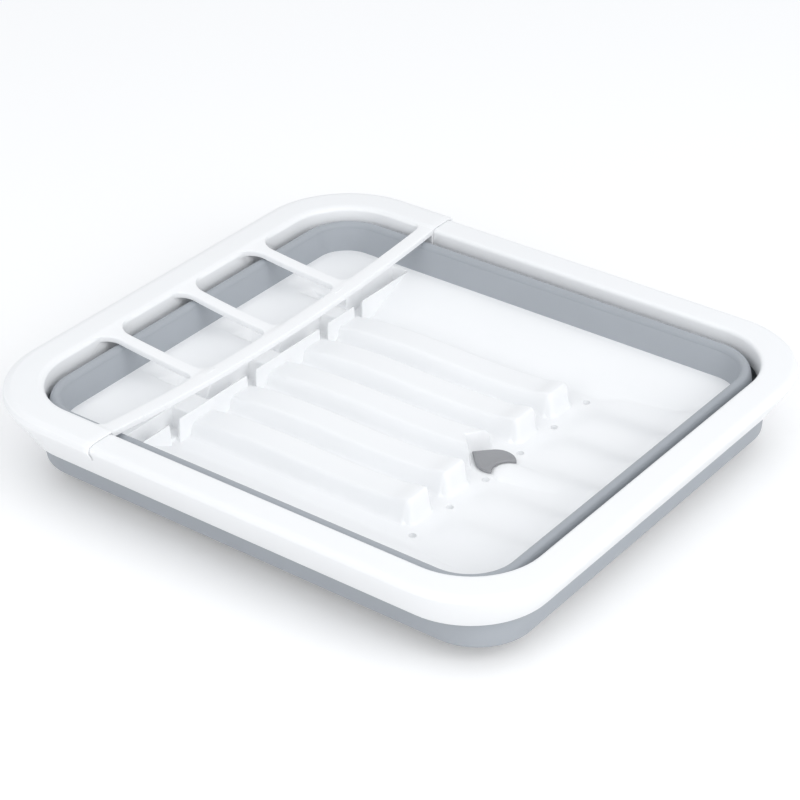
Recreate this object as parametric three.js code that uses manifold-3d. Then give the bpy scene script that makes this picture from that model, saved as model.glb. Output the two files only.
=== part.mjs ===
// Folding dish drainer: a white rim and base tray joined by a grey rubber wall that folds flat.
// Millimetres, +Z up, +X to the plate end, cutlery at -X. Drawn folded, as in the photograph.
import * as THREE from 'three';
import { mergeVertices } from 'three/addons/utils/BufferGeometryUtils.js';
import Module from 'manifold-3d';

const wasm = await Module();
wasm.setup();

// Overall size
const OVERALL_LENGTH = 365;
const RIM_WIDTH = 326.6;
const RIM_TOP = 55;
const RIM_CORNER = 57;
const EDGE_DROP = 3.2;

// Fits
const SEAT_GAP = 0.3;
const FOLD_GAP = 0.5;

// White rim
const RIM_WALL = 2.4;
const FLANGE_WIDTH = 19.5;
const FLANGE_WIDTH_SIDE = 18.3;
const SKIRT_BOTTOM = 30;
const SKIRT_INSET = 13;
const SKIRT_INSET_SIDE = 10.6;
const INNER_WALL_BOTTOM = 40.6;
const INNER_CORNER = 42;
const INNER_WALL_OUT = 1.8;

// Cutlery frame, a thin cap over the rim at the -X end
const CAP_WALL = 1.3;
const CAP_LENGTH = 97.5;
const CAP_SKIRT_BOTTOM = 46;
const CAP_INNER_BOTTOM = 41.5;
const LONG_BAR_WIDTH = 9.4;
const SHORT_BAR_WIDTH = 8;
const BAR_THICK = 4;
const BAR_DIP = 7.5;
const SHORT_BAR_Y = 64;
const BAR_FILLET = 6;
const CAP_FILLET = 11;
const BAR_ROOT = 0.4;

// Grey rubber wall, its folds measured in from the rim's edge
const RUBBER_WALL = 2;
const OUTER_BAND_TOP = 51;
const FOLD_BOTTOM = 11.7;
const FOLD_INSET = 18.9;
const FOLD_INSET_MINUS = 23.5;
const FOLD_INSET_SIDE = 19.8;
const FOLD_HEIGHT = 2.4;
const RIDGE_TOP = 49.6;
const RIDGE_INSET = 33;
const RIDGE_INSET_SIDE = 29.55;
const RIDGE_CORNER = 26;
const RIDGE_BREADTH = 6.2;
const INNER_BAND_BOTTOM = 25;

// Base tray, its edge measured in from the rim's edge
const TRAY_WALL = 2.4;
const TRAY_INSET = 35.3;
const TRAY_INSET_SIDE = 33.6;
const TRAY_CORNER = 20;
const LEDGE_Z = 32;
const HEM_BOTTOM = 23;
const SLOT_FLOOR_Z = 17;
const SLOT_PITCH = 33.2;
const SLOT_FLOOR_HALF = 5.5;
const SLOT_TOP_HALF = 7.3;
const BED_SETBACK = 6;
const FINGER_ZONE = 85.2;
const GUTTER = 8.5;
const VALLEY_RISE = 1;
const BORDER = 4;
const POCKET_SETBACK = 7.5;
const POCKET_WIDTH = 10.5;
const POCKET_Z = 19;
const NOTCH_HALF = 3.8;
const NOTCH_SHIFT = -5;
const BOWL_DEPTH = 7;

// Drain, a drop shape with its point towards the cutlery
const DRAIN_OFFSET = 2;
const DRAIN_RADIUS = 11.5;
const DRAIN_TIP = 16;
const DRAIN_RECESS = 3;
const DRAIN_CLEARANCE = 0.6;
const DRAIN_LIP = 2.2;
const PLUG_FLANGE = 1.8;
const PLUG_DEPTH = 6;

// Round nose of the middle rib, which bites into the drain's edge
const NOSE_OFFSET = 12;
const NOSE_SIDE = 4;
const NOSE_RADIUS = 10;
const NOSE_HEIGHT = 5;

// Legs and pads
const LEG_INSET = 31.2;
const LEG_INSET_SIDE = 46.7;
const LEG_RADIUS = 10;
const LEG_WALL = 2.2;
const LEG_BOTTOM = 4;
const PAD_STUD_HEIGHT = 6;

const CORNER_STEPS = 7;

// Shares of a bar's fillet at which its edge is drawn
const FLARE_STEPS = [0, 0.1, 0.3, 0.6, 1];

// Points of a rounded rectangle that reaches from -lengthMinus to lengthPlus
function roundedOutline(lengthPlus, lengthMinus, width, radius) {
  const corners = [
    [lengthPlus - radius, width - radius, 0],
    [radius - lengthMinus, width - radius, 1],
    [radius - lengthMinus, radius - width, 2],
    [lengthPlus - radius, radius - width, 3],
  ];
  const points = [];
  for (const [cx, cy, quarter] of corners) {
    for (let step = 0; step <= CORNER_STEPS; step += 1) {
      const angle = (quarter + step / CORNER_STEPS) * Math.PI / 2;
      points.push([cx + radius * Math.cos(angle), cy + radius * Math.sin(angle)]);
    }
  }
  return points;
}

// Geometry from vertex rows that close on themselves both ways
function closedLoft(rows) {
  const across = rows.length;
  const around = rows[0].length;
  const positions = [];
  const index = [];
  for (const row of rows) {
    for (const point of row) {
      positions.push(point[0], point[1], point[2]);
    }
  }
  for (let i = 0; i < across; i += 1) {
    for (let j = 0; j < around; j += 1) {
      const a = i * around + j;
      const b = i * around + (j + 1) % around;
      const c = ((i + 1) % across) * around + (j + 1) % around;
      const d = ((i + 1) % across) * around + j;
      index.push(a, c, b, a, d, c);
    }
  }
  const geometry = new THREE.BufferGeometry();
  geometry.setAttribute('position', new THREE.Float32BufferAttribute(positions, 3));
  geometry.setIndex(index);
  return geometry;
}

// Ring whose section is a closed list of stations, each a rounded rectangle at a height.
// Stations run from the inside of the ring over the top to the outside and back below.
function ringGeometry(stations) {
  const rows = stations.map((s) => roundedOutline(s.ap, s.am ?? s.ap, s.b, s.r)
    .map(([x, y]) => [x, y, s.z]));
  return closedLoft(rows);
}

// Bar through stations, each a rectangle given by its four corner points
function barGeometry(stations) {
  const positions = [];
  const index = [];
  for (const station of stations) {
    for (const point of station) {
      positions.push(...point);
    }
  }
  const last = (stations.length - 1) * 4;
  for (let i = 0; i + 1 < stations.length; i += 1) {
    for (let j = 0; j < 4; j += 1) {
      const a = i * 4 + j;
      const b = i * 4 + (j + 1) % 4;
      index.push(a, b, b + 4, a, b + 4, a + 4);
    }
  }
  index.push(0, 2, 1, 0, 3, 2);
  index.push(last, last + 1, last + 2, last, last + 2, last + 3);
  const geometry = new THREE.BufferGeometry();
  geometry.setAttribute('position', new THREE.Float32BufferAttribute(positions, 3));
  geometry.setIndex(index);
  return geometry;
}

function solid(geometry) {
  const bare = geometry.clone();
  bare.deleteAttribute('normal');
  bare.deleteAttribute('uv');
  const merged = mergeVertices(bare, 1e-4);
  const mesh = new wasm.Mesh({
    numProp: 3,
    vertProperties: new Float32Array(merged.attributes.position.array),
    triVerts: new Uint32Array(merged.index.array),
  });
  return new wasm.Manifold(mesh);
}

function geometryOf(body) {
  const mesh = body.getMesh();
  const geometry = new THREE.BufferGeometry();
  geometry.setAttribute('position', new THREE.BufferAttribute(new Float32Array(mesh.vertProperties), 3));
  geometry.setIndex(new THREE.BufferAttribute(new Uint32Array(mesh.triVerts), 1));
  return geometry;
}

function prism(points, bottom, top) {
  const shape = new THREE.Shape(points.map(([x, y]) => new THREE.Vector2(x, y)));
  const geometry = new THREE.ExtrudeGeometry(shape, { depth: top - bottom, bevelEnabled: false });
  geometry.translate(0, 0, bottom);
  return solid(geometry);
}

function box(x0, x1, y0, y1, z0, z1) {
  const geometry = new THREE.BoxGeometry(x1 - x0, y1 - y0, z1 - z0);
  geometry.translate((x0 + x1) / 2, (y0 + y1) / 2, (z0 + z1) / 2);
  return solid(geometry);
}

function post(x, y, radius, bottom, top) {
  const geometry = new THREE.CylinderGeometry(radius, radius, top - bottom, 24);
  geometry.rotateX(Math.PI / 2);
  geometry.translate(x, y, (bottom + top) / 2);
  return solid(geometry);
}

// Lines that several pieces share, all from the rim's edge
const halfLength = OVERALL_LENGTH / 2;
const halfWidth = RIM_WIDTH / 2;
const rimMinus = halfLength - CAP_WALL - SEAT_GAP;
const skirtTop = RIM_TOP - EDGE_DROP;
const openLength = halfLength - FLANGE_WIDTH;
const openWidth = halfWidth - FLANGE_WIDTH_SIDE;
const foldLength = halfLength - FOLD_INSET;
const foldLengthMinus = halfLength - FOLD_INSET_MINUS;
const foldWidth = halfWidth - FOLD_INSET_SIDE;
const ridgeLength = halfLength - RIDGE_INSET;
const ridgeWidth = halfWidth - RIDGE_INSET_SIDE;
const trayLength = halfLength - TRAY_INSET;
const trayWidth = halfWidth - TRAY_INSET_SIDE;

// Lines of the tray along its length, from the cutlery bar and from the plate end
const capEnd = CAP_LENGTH - halfLength;
const bedLeft = capEnd - BED_SETBACK;
const pocketRight = capEnd - POCKET_SETBACK;
const pocketLeft = pocketRight - POCKET_WIDTH;
const bedRight = trayLength - FINGER_ZONE;
const fingerStart = bedRight + GUTTER;
const fingerEnd = trayLength - BORDER;
const drainX = bedRight + DRAIN_OFFSET;
const noseX = drainX + NOSE_OFFSET;
const sideStart = 2.5 * SLOT_PITCH + SLOT_FLOOR_HALF;
const sideEnd = trayWidth - 2;

function flangeStation(inset, insetSide, z, radius) {
  return {
    ap: halfLength - inset,
    am: rimMinus - inset,
    b: halfWidth - insetSide,
    r: radius,
    z,
  };
}

// Inverted U ring: inner wall, flat flange, slanting skirt
function rimGeometry() {
  const inner = (out, z) => ({
    ap: openLength + out,
    b: openWidth + out,
    r: INNER_CORNER + out,
    z,
  });
  return ringGeometry([
    inner(-0.8, INNER_WALL_BOTTOM),
    inner(-0.4, RIM_TOP - 1.8),
    inner(0.4, RIM_TOP - 0.4),
    inner(2, RIM_TOP),
    flangeStation(3.6, 3.6, RIM_TOP, RIM_CORNER - 3.6),
    flangeStation(1.2, 1.2, RIM_TOP - 0.8, RIM_CORNER - 1.2),
    flangeStation(0, 0, skirtTop, RIM_CORNER),
    flangeStation(SKIRT_INSET, SKIRT_INSET_SIDE, SKIRT_BOTTOM, RIM_CORNER - SKIRT_INSET_SIDE),
    flangeStation(SKIRT_INSET + RIM_WALL, SKIRT_INSET_SIDE + RIM_WALL, SKIRT_BOTTOM,
      RIM_CORNER - SKIRT_INSET_SIDE - RIM_WALL),
    flangeStation(RIM_WALL + 0.6, RIM_WALL + 0.6, skirtTop - 0.8, RIM_CORNER - RIM_WALL),
    flangeStation(4.4, 4.4, RIM_TOP - RIM_WALL, RIM_CORNER - 4.4),
    inner(3.2, RIM_TOP - RIM_WALL),
    inner(INNER_WALL_OUT, RIM_TOP - RIM_WALL - 1),
    inner(INNER_WALL_OUT - 0.4, INNER_WALL_BOTTOM),
  ]);
}

// Height of the top of the cutlery bars: they sag from the rim towards the middle
function longBarTop(y) {
  const share = Math.min(1, Math.abs(y) / openWidth);
  return RIM_TOP + 0.8 - BAR_DIP * (1 - share * share);
}

// Extra half width of a bar near its end, for a round corner of the given radius
function flare(distance, radius) {
  if (distance >= radius) {
    return 0;
  }
  const rest = radius - distance;
  return radius - Math.sqrt(radius * radius - rest * rest);
}

function cutleryFrameBody() {
  const skirtShare = (skirtTop - CAP_SKIRT_BOTTOM) / (skirtTop - SKIRT_BOTTOM);
  const outer = (inset, grow, z, share = 0) => ({
    ap: halfLength,
    am: rimMinus - inset + grow - share * SKIRT_INSET,
    b: halfWidth - inset + grow - share * SKIRT_INSET_SIDE,
    r: RIM_CORNER - inset + grow - share * SKIRT_INSET_SIDE,
    z,
  });
  const inner = (out, z) => ({
    ap: openLength + out,
    b: openWidth + out,
    r: INNER_CORNER + out,
    z,
  });
  const near = SEAT_GAP;
  const far = SEAT_GAP + CAP_WALL;
  const innerFace = -0.8 - SEAT_GAP;
  const ring = solid(ringGeometry([
    inner(innerFace - CAP_WALL, CAP_INNER_BOTTOM),
    inner(innerFace - CAP_WALL, RIM_TOP - 0.6),
    inner(0.2 - CAP_WALL, RIM_TOP + 0.9),
    inner(1.2, RIM_TOP + far),
    outer(3.4, 0, RIM_TOP + far),
    outer(0.8, far, RIM_TOP + 0.2),
    outer(0, far, skirtTop),
    outer(0, far, CAP_SKIRT_BOTTOM, skirtShare),
    outer(0, near, CAP_SKIRT_BOTTOM, skirtShare),
    outer(0, near, skirtTop),
    outer(1.2, near, RIM_TOP - 0.6),
    outer(3.6, 0, RIM_TOP + near),
    inner(2, RIM_TOP + near),
    inner(0.2, RIM_TOP - 0.1),
    inner(innerFace + 0.3, RIM_TOP - 1.6),
    inner(innerFace, CAP_INNER_BOTTOM),
  ]));
  const end = box(-halfLength - 10, capEnd, -halfWidth - 10, halfWidth + 10, 0, RIM_TOP + 20);
  let body = ring.intersect(end);

  const reach = openWidth - 1;
  const stops = [1, 0.992, 0.985, 0.972, 0.955, 0.85, 0.68, 0.45, 0.22];
  const alongY = [...stops.map((s) => -s * reach), 0, ...stops.slice().reverse().map((s) => s * reach)];
  const barMiddle = capEnd - LONG_BAR_WIDTH / 2;
  body = body.add(solid(barGeometry(alongY.map((y) => {
    const top = longBarTop(y);
    const left = barMiddle - LONG_BAR_WIDTH / 2 - flare(reach - Math.abs(y), BAR_FILLET);
    return [
      [left, y, top - BAR_THICK],
      [left, y, top],
      [capEnd, y, top],
      [capEnd, y, top - BAR_THICK],
    ];
  }))));

  const startX = -openLength + 1;
  const endX = barMiddle - 1;
  for (const middle of [-SHORT_BAR_Y, 0, SHORT_BAR_Y]) {
    const joinX = capEnd - LONG_BAR_WIDTH;
    const alongX = [startX, ...FLARE_STEPS.map((share) => startX + BAR_ROOT + share * CAP_FILLET)];
    alongX.push(...[0.45, 0.7].map((share) => startX + share * (joinX - startX)));
    alongX.push(...FLARE_STEPS.toReversed().map((share) => joinX - share * BAR_FILLET), endX);
    const drop = RIM_TOP + 0.8 - longBarTop(middle);
    body = body.add(solid(barGeometry(alongX.map((x) => {
      const share = (x - startX) / (endX - startX);
      const top = RIM_TOP + 0.8 - drop * share * (1.5 - 0.5 * share);
      const fromRim = Math.max(0, x - startX - BAR_ROOT);
      const fromBar = Math.max(0, joinX - x);
      const half = SHORT_BAR_WIDTH / 2 + flare(fromRim, CAP_FILLET) + flare(fromBar, BAR_FILLET);
      return [
        [x, middle + half, top - BAR_THICK],
        [x, middle + half, top],
        [x, middle - half, top],
        [x, middle - half, top - BAR_THICK],
      ];
    }))));
  }
  return body;
}

// The rubber wall is one moulding with two folds; each straight run is a ring of its own.
// The lower fold is set in further at the cutlery end than at the plate end.
function foldStation(out, z) {
  return {
    ap: foldLength + out,
    am: foldLengthMinus + out,
    b: foldWidth + out,
    r: RIDGE_CORNER + (foldLength - ridgeLength) / 2 + out,
    z,
  };
}

function ridgeStation(out, z) {
  return { ap: ridgeLength + out, b: ridgeWidth + out, r: RIDGE_CORNER + out, z };
}

// Hangs from the rim, seated against its inner wall
function outerBandGeometry() {
  const seat = INNER_WALL_OUT + SEAT_GAP + 0.1;
  const seated = (out, z) => ({
    ap: openLength + seat + out,
    b: openWidth + seat + out,
    r: INNER_CORNER + seat + out,
    z,
  });
  const bottom = FOLD_BOTTOM + FOLD_HEIGHT;
  return ringGeometry([
    foldStation(-RUBBER_WALL, bottom),
    seated(0, INNER_WALL_BOTTOM - 2),
    seated(0, OUTER_BAND_TOP),
    seated(RUBBER_WALL, OUTER_BAND_TOP),
    seated(RUBBER_WALL, INNER_WALL_BOTTOM - 3),
    foldStation(0, bottom),
  ]);
}

// Run between the folds: lower fold turned out below the outer band, ridge turned in at the top
function foldBandGeometry() {
  const wall = RUBBER_WALL;
  const low = -RUBBER_WALL - FOLD_GAP;
  const bead = FOLD_BOTTOM;
  const broad = RIDGE_BREADTH;
  const lip = RIDGE_TOP - 3.8;
  return ringGeometry([
    foldStation(low - wall, bead + 1.6),
    ridgeStation(broad - wall, RIDGE_TOP - 4.2),
    ridgeStation(broad - wall - 0.6, RIDGE_TOP - 2.6),
    ridgeStation(wall + 0.6, RIDGE_TOP - 2.6),
    ridgeStation(wall, lip),
    ridgeStation(0, lip),
    ridgeStation(0.1, RIDGE_TOP - 2.4),
    ridgeStation(1, RIDGE_TOP - 0.8),
    ridgeStation(broad / 2, RIDGE_TOP),
    ridgeStation(broad - 1, RIDGE_TOP - 0.8),
    ridgeStation(broad, RIDGE_TOP - 2.8),
    foldStation(low, bead + FOLD_HEIGHT),
    foldStation(-0.6, bead + FOLD_HEIGHT - FOLD_GAP),
    foldStation(-0.1, bead + 1.1),
    foldStation(-1.2, bead + 0.1),
    foldStation(-3.2, bead),
  ]);
}

function innerBandGeometry() {
  const top = RIDGE_TOP - 3.8 - SEAT_GAP;
  const low = SEAT_GAP;
  const inner = (length, width, z, out = 0) => ({
    ap: length + out,
    b: width + out,
    r: TRAY_CORNER + (RIDGE_CORNER - TRAY_CORNER) * ramp(z, LEDGE_Z, RIDGE_TOP - 4) + out,
    z,
  });
  return ringGeometry([
    inner(trayLength + low, trayWidth + low, INNER_BAND_BOTTOM),
    inner(trayLength + low, trayWidth + low, LEDGE_Z),
    inner(ridgeLength, ridgeWidth, top),
    inner(ridgeLength, ridgeWidth, top, RUBBER_WALL),
    inner(trayLength + low, trayWidth + low, LEDGE_Z, RUBBER_WALL),
    inner(trayLength + low, trayWidth + low, INNER_BAND_BOTTOM, RUBBER_WALL),
  ]);
}

function ramp(value, from, to) {
  return Math.min(1, Math.max(0, (value - from) / (to - from)));
}

// Straight-line interpolation through a list of [position, height]
function throughPoints(points, value) {
  for (let i = 1; i < points.length; i += 1) {
    if (value <= points[i][0]) {
      const share = ramp(value, points[i - 1][0], points[i][0]);
      return points[i - 1][1] + share * (points[i][1] - points[i - 1][1]);
    }
  }
  return points[points.length - 1][1];
}

const RIDGE_LINE = [
  [bedLeft, 23.5],
  [bedLeft + 10, 25],
  [bedLeft + 22, 26.8],
  [bedLeft + 38, 28.2],
  [bedRight - 30, 28],
  [bedRight - 14, 29.8],
  [bedRight - 5, 32.6],
  [bedRight, 33],
];
const FINGER_LINE = [
  [fingerStart, 18.2],
  [fingerStart + 20, 19.6],
  [fingerStart + 50, 21.6],
  [fingerEnd, 27],
];
const SIDE_SLOPE = [
  [sideStart, SLOT_FLOOR_Z],
  [sideStart + 0.37 * (sideEnd - sideStart), 23],
  [sideEnd, LEDGE_Z],
];
const NOTCHES = [2.5, 1.5, -0.5, -2.5].map((number) => number * SLOT_PITCH + NOTCH_SHIFT);
const POCKETS = [
  [SHORT_BAR_Y + 3, trayWidth - BORDER],
  [4, 1.5 * SLOT_PITCH + 4],
  [4 - SHORT_BAR_Y, 4 - 0.5 * SLOT_PITCH],
  [BORDER - trayWidth, 4 - 2.5 * SLOT_PITCH],
];

function slotDistance(y) {
  const side = Math.abs(y);
  const number = Math.min(2, Math.max(0, Math.round(side / SLOT_PITCH - 0.5)));
  return Math.abs(side - (number + 0.5) * SLOT_PITCH);
}

// Heights of the tray surface in its three zones; wall widens every hollow, for the underside
function cutleryHeight(x, y, wall) {
  const atNotch = NOTCHES.some((slot) => Math.abs(y - slot) < NOTCH_HALF + wall);
  if (atNotch && x > pocketRight - 2) {
    return SLOT_FLOOR_Z;
  }
  const inPocket = POCKETS.some(([from, to]) => y > from - wall && y < to + wall);
  if (inPocket && x > pocketLeft - wall && x < pocketRight + wall) {
    return POCKET_Z;
  }
  const lane = Math.min(1, Math.max(-2, Math.floor(y / SHORT_BAR_Y)));
  const from = lane === -2 ? BORDER - trayWidth : lane * SHORT_BAR_Y + BORDER;
  const to = lane === 1 ? trayWidth - BORDER : (lane + 1) * SHORT_BAR_Y - BORDER;
  const u = 2 * ramp(x, BORDER - trayLength, pocketLeft) - 1;
  const v = 2 * ramp(y, from, to) - 1;
  return LEDGE_Z - BOWL_DEPTH * (1 - u * u) * (1 - v * v) * (1 - 0.45 * v);
}

function bedHeight(x, y, wall) {
  const side = Math.abs(y);
  if (side > 2.5 * SLOT_PITCH) {
    return throughPoints(SIDE_SLOPE, side - wall);
  }
  const rise = ramp(slotDistance(y), SLOT_FLOOR_HALF + wall, SLOT_TOP_HALF + wall);
  return SLOT_FLOOR_Z + (throughPoints(RIDGE_LINE, x) - SLOT_FLOOR_Z) * rise;
}

function fingerHeight(x, y, wall) {
  const side = Math.abs(y);
  if (x > fingerEnd + wall) {
    return LEDGE_Z;
  }
  const valley = SLOT_FLOOR_Z + VALLEY_RISE * ramp(x, fingerStart + 4.5, fingerEnd);
  const round = 1 - ramp(x, fingerStart + wall, fingerStart + wall + 10);
  const end = Math.sqrt(1 - round * round);
  const flank = side > 3 * SLOT_PITCH ? 0 : 1 - ramp(slotDistance(y), wall, 13 + wall);
  const crest = throughPoints(FINGER_LINE, x);
  const finger = valley + (crest - valley) * (1 - flank * flank) * end;
  return side < 2.5 * SLOT_PITCH ? finger : Math.max(finger, throughPoints(SIDE_SLOPE, side - wall));
}

// Block under a height surface, on grid lines that follow the steps of the form
function heightBlock(height, wall, linesX, linesY, bottom) {
  const countX = linesX.length;
  const countY = linesY.length;
  const positions = [];
  const index = [];
  for (const flat of [false, true]) {
    for (const x of linesX) {
      for (const y of linesY) {
        positions.push(x, y, flat ? bottom : height(x, y, wall) - wall);
      }
    }
  }
  const at = (layer, i, j) => layer * countX * countY + i * countY + j;
  for (let i = 0; i + 1 < countX; i += 1) {
    for (let j = 0; j + 1 < countY; j += 1) {
      index.push(at(0, i, j), at(0, i + 1, j), at(0, i + 1, j + 1));
      index.push(at(0, i, j), at(0, i + 1, j + 1), at(0, i, j + 1));
      index.push(at(1, i, j), at(1, i + 1, j + 1), at(1, i + 1, j));
      index.push(at(1, i, j), at(1, i, j + 1), at(1, i + 1, j + 1));
    }
  }
  for (let i = 0; i + 1 < countX; i += 1) {
    const e = countY - 1;
    index.push(at(1, i, 0), at(1, i + 1, 0), at(0, i + 1, 0), at(1, i, 0), at(0, i + 1, 0), at(0, i, 0));
    index.push(at(0, i, e), at(0, i + 1, e), at(1, i + 1, e), at(0, i, e), at(1, i + 1, e), at(1, i, e));
  }
  for (let j = 0; j + 1 < countY; j += 1) {
    const e = countX - 1;
    index.push(at(0, 0, j), at(0, 0, j + 1), at(1, 0, j + 1), at(0, 0, j), at(1, 0, j + 1), at(1, 0, j));
    index.push(at(1, e, j), at(1, e, j + 1), at(0, e, j + 1), at(1, e, j), at(0, e, j + 1), at(0, e, j));
  }
  const geometry = new THREE.BufferGeometry();
  geometry.setAttribute('position', new THREE.Float32BufferAttribute(positions, 3));
  geometry.setIndex(index);
  return solid(geometry);
}

function sorted(lines) {
  const inOrder = lines.slice().sort((a, b) => a - b);
  return inOrder.filter((value, i) => i === 0 || value - inOrder[i - 1] > 0.15);
}

function bothSides(lines) {
  return sorted([...lines, ...lines.map((value) => -value)]);
}

// Lines just either side of a step in the surface
function step(at) {
  return [at - 0.3, at + 0.3];
}

function slotLines(offsets) {
  const lines = [trayWidth + 1, sideEnd, SIDE_SLOPE[1][0]];
  for (let number = 0; number < 3; number += 1) {
    for (const offset of offsets) {
      lines.push((number + 0.5) * SLOT_PITCH + offset, (number + 0.5) * SLOT_PITCH - offset);
    }
  }
  return bothSides(lines);
}

// The whole tray surface as a block: cutlery end, plate bed and finger end side by side
function trayBlock(wall, bottom) {
  const edge = trayLength + 1;
  const left = bedLeft - wall;
  const right = bedRight - wall;
  const bowlEnd = BORDER - trayLength;
  const cutleryX = [-edge, bowlEnd, left];
  cutleryX.push(...[0.23, 0.48, 0.73].map((share) => bowlEnd + share * (pocketLeft - bowlEnd)));
  cutleryX.push(...step(pocketLeft - wall));
  if (pocketRight + wall < left) {
    cutleryX.push(...step(pocketRight + wall));
  }
  const cutleryY = [-trayWidth - 1, trayWidth + 1];
  for (const [from, to] of POCKETS) {
    cutleryY.push(...step(from - wall), ...step(to + wall));
  }
  for (const slot of wall > 0 ? [] : NOTCHES) {
    cutleryY.push(...step(slot - NOTCH_HALF), ...step(slot + NOTCH_HALF));
  }
  for (const lane of [-1.5, -0.5, 0.5, 1.5]) {
    cutleryY.push(...[-0.44, -0.28, -0.09, 0.125, 0.31, 0.44].map((at) => (lane + at) * SHORT_BAR_Y));
  }
  const bedX = [left, ...RIDGE_LINE.slice(1, -1).map(([x]) => x), right];
  const bedY = slotLines([SLOT_FLOOR_HALF + wall, SLOT_TOP_HALF + wall]);
  const fingerX = [right, fingerStart + wall, ...FINGER_LINE.slice(1, -1).map(([x]) => x), edge];
  fingerX.push(...[1, 3.6, 10].map((out) => fingerStart + wall + out));
  fingerX.push(...step(fingerEnd + wall));
  const fingerY = slotLines([0, wall + 3.4, wall + 7.6, SLOT_PITCH / 2 - 0.5]);
  const cutlery = heightBlock(cutleryHeight, wall, sorted(cutleryX), sorted(cutleryY), bottom);
  const bed = heightBlock(bedHeight, wall, bedX, bedY, bottom);
  const fingers = heightBlock(fingerHeight, wall, sorted(fingerX), fingerY, bottom);
  return cutlery.add(bed).add(fingers);
}

// Outline of a drop that points to -X
function dropOutline(grow) {
  const radius = DRAIN_RADIUS + grow;
  const tip = DRAIN_TIP + grow * 1.39;
  const touch = Math.acos(radius / tip);
  const points = [[drainX - tip, 0]];
  const steps = 14;
  for (let i = 0; i <= steps; i += 1) {
    const angle = Math.PI + touch + (2 * (Math.PI - touch)) * i / steps;
    points.push([drainX + radius * Math.cos(angle), radius * Math.sin(angle)]);
  }
  return points;
}

// Upright prism over the drop, less the middle rib's nose
function drainPrism(grow, bottom, top) {
  const nose = post(noseX, -NOSE_SIDE, NOSE_RADIUS - grow, bottom - 1, top + 1);
  return prism(dropOutline(grow), bottom, top).subtract(nose);
}

function noseBody() {
  const radius = NOSE_RADIUS - DRAIN_CLEARANCE;
  const geometry = new THREE.SphereGeometry(1, 28, 14);
  geometry.rotateX(Math.PI / 2);
  geometry.scale(radius, radius, NOSE_HEIGHT);
  geometry.translate(noseX, -NOSE_SIDE, SLOT_FLOOR_Z);
  return solid(geometry);
}

function trayBody() {
  const outline = roundedOutline(trayLength, trayLength, trayWidth, TRAY_CORNER);
  const inside = roundedOutline(trayLength - TRAY_WALL, trayLength - TRAY_WALL,
    trayWidth - TRAY_WALL, TRAY_CORNER - TRAY_WALL);
  const high = LEDGE_Z + 10;
  const bedSide = box(bedLeft, drainX + 2, -trayWidth, trayWidth, 0, high);
  const recessTop = drainPrism(DRAIN_RECESS, SLOT_FLOOR_Z, high).intersect(bedSide)
    .add(drainPrism(DRAIN_CLEARANCE, SLOT_FLOOR_Z, high));
  const recessUnder = prism(dropOutline(DRAIN_RECESS + TRAY_WALL), SLOT_FLOOR_Z - TRAY_WALL, high);
  const above = trayBlock(0, -8).subtract(recessTop).add(noseBody());
  const under = trayBlock(TRAY_WALL, -12).subtract(recessUnder);
  const hem = prism(outline, HEM_BOTTOM, LEDGE_Z - 1).subtract(prism(inside, HEM_BOTTOM - 1, LEDGE_Z));
  const crossRib = box(bedLeft - TRAY_WALL, pocketRight + TRAY_WALL, -trayWidth, trayWidth,
    SLOT_FLOOR_Z - TRAY_WALL, high);
  const footprint = prism(outline, -20, high);
  let body = above.intersect(footprint).subtract(under).add(hem);
  body = body.add(crossRib.intersect(above).intersect(footprint));
  for (const [x, y] of legPlaces()) {
    const tube = post(x, y, LEG_RADIUS, LEG_BOTTOM, LEDGE_Z).subtract(
      post(x, y, LEG_RADIUS - LEG_WALL, LEG_BOTTOM - 1, LEDGE_Z));
    body = body.add(tube.intersect(above));
  }
  return body.subtract(drainPrism(-DRAIN_LIP, -20, LEDGE_Z));
}

function legPlaces() {
  const x = trayLength - LEG_INSET;
  const y = trayWidth - LEG_INSET_SIDE;
  return [[x, y], [-x, y], [-x, -y], [x, -y]];
}

function plugBody() {
  const flangeBottom = SLOT_FLOOR_Z + SEAT_GAP;
  const flange = drainPrism(0, flangeBottom, flangeBottom + PLUG_FLANGE);
  const stem = drainPrism(-DRAIN_LIP - SEAT_GAP, flangeBottom - PLUG_DEPTH, flangeBottom + 0.5);
  return flange.add(stem);
}

function padBody(x, y) {
  const foot = post(x, y, LEG_RADIUS, 0, LEG_BOTTOM - SEAT_GAP);
  const stud = post(x, y, LEG_RADIUS - LEG_WALL - SEAT_GAP, 1, LEG_BOTTOM + PAD_STUD_HEIGHT);
  return foot.add(stud);
}

const white = new THREE.MeshStandardMaterial({ color: 0xf3f4f5, roughness: 0.42, metalness: 0 });
const rubber = new THREE.MeshStandardMaterial({ color: 0xa6abb3, roughness: 0.62, metalness: 0 });

const group = new THREE.Group();

function place(name, geometry, material) {
  const mesh = new THREE.Mesh(geometry, material);
  mesh.name = name;
  group.add(mesh);
}

place('base_tray', geometryOf(trayBody()), white);
place('wall_inner_band', geometryOf(solid(innerBandGeometry())), rubber);
place('wall_fold_band', geometryOf(solid(foldBandGeometry())), rubber);
place('wall_outer_band', geometryOf(solid(outerBandGeometry())), rubber);
place('rim_frame', geometryOf(solid(rimGeometry())), white);
place('cutlery_frame', geometryOf(cutleryFrameBody()), white);
place('drain_plug', geometryOf(plugBody()), rubber);
const padSides = ['back_right', 'back_left', 'front_left', 'front_right'];
legPlaces().forEach(([x, y], i) => {
  place(`foot_pad_${padSides[i]}`, geometryOf(padBody(x, y)), rubber);
});

export default group;
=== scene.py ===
"""Folding dish drainer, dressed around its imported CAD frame.

Laid out as an add-on and run as a script. The property groups hold metres, the shape functions
work in millimetres, and a mesh is scaled once, where it is made.
"""
import math
from functools import partial
from types import SimpleNamespace

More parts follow.
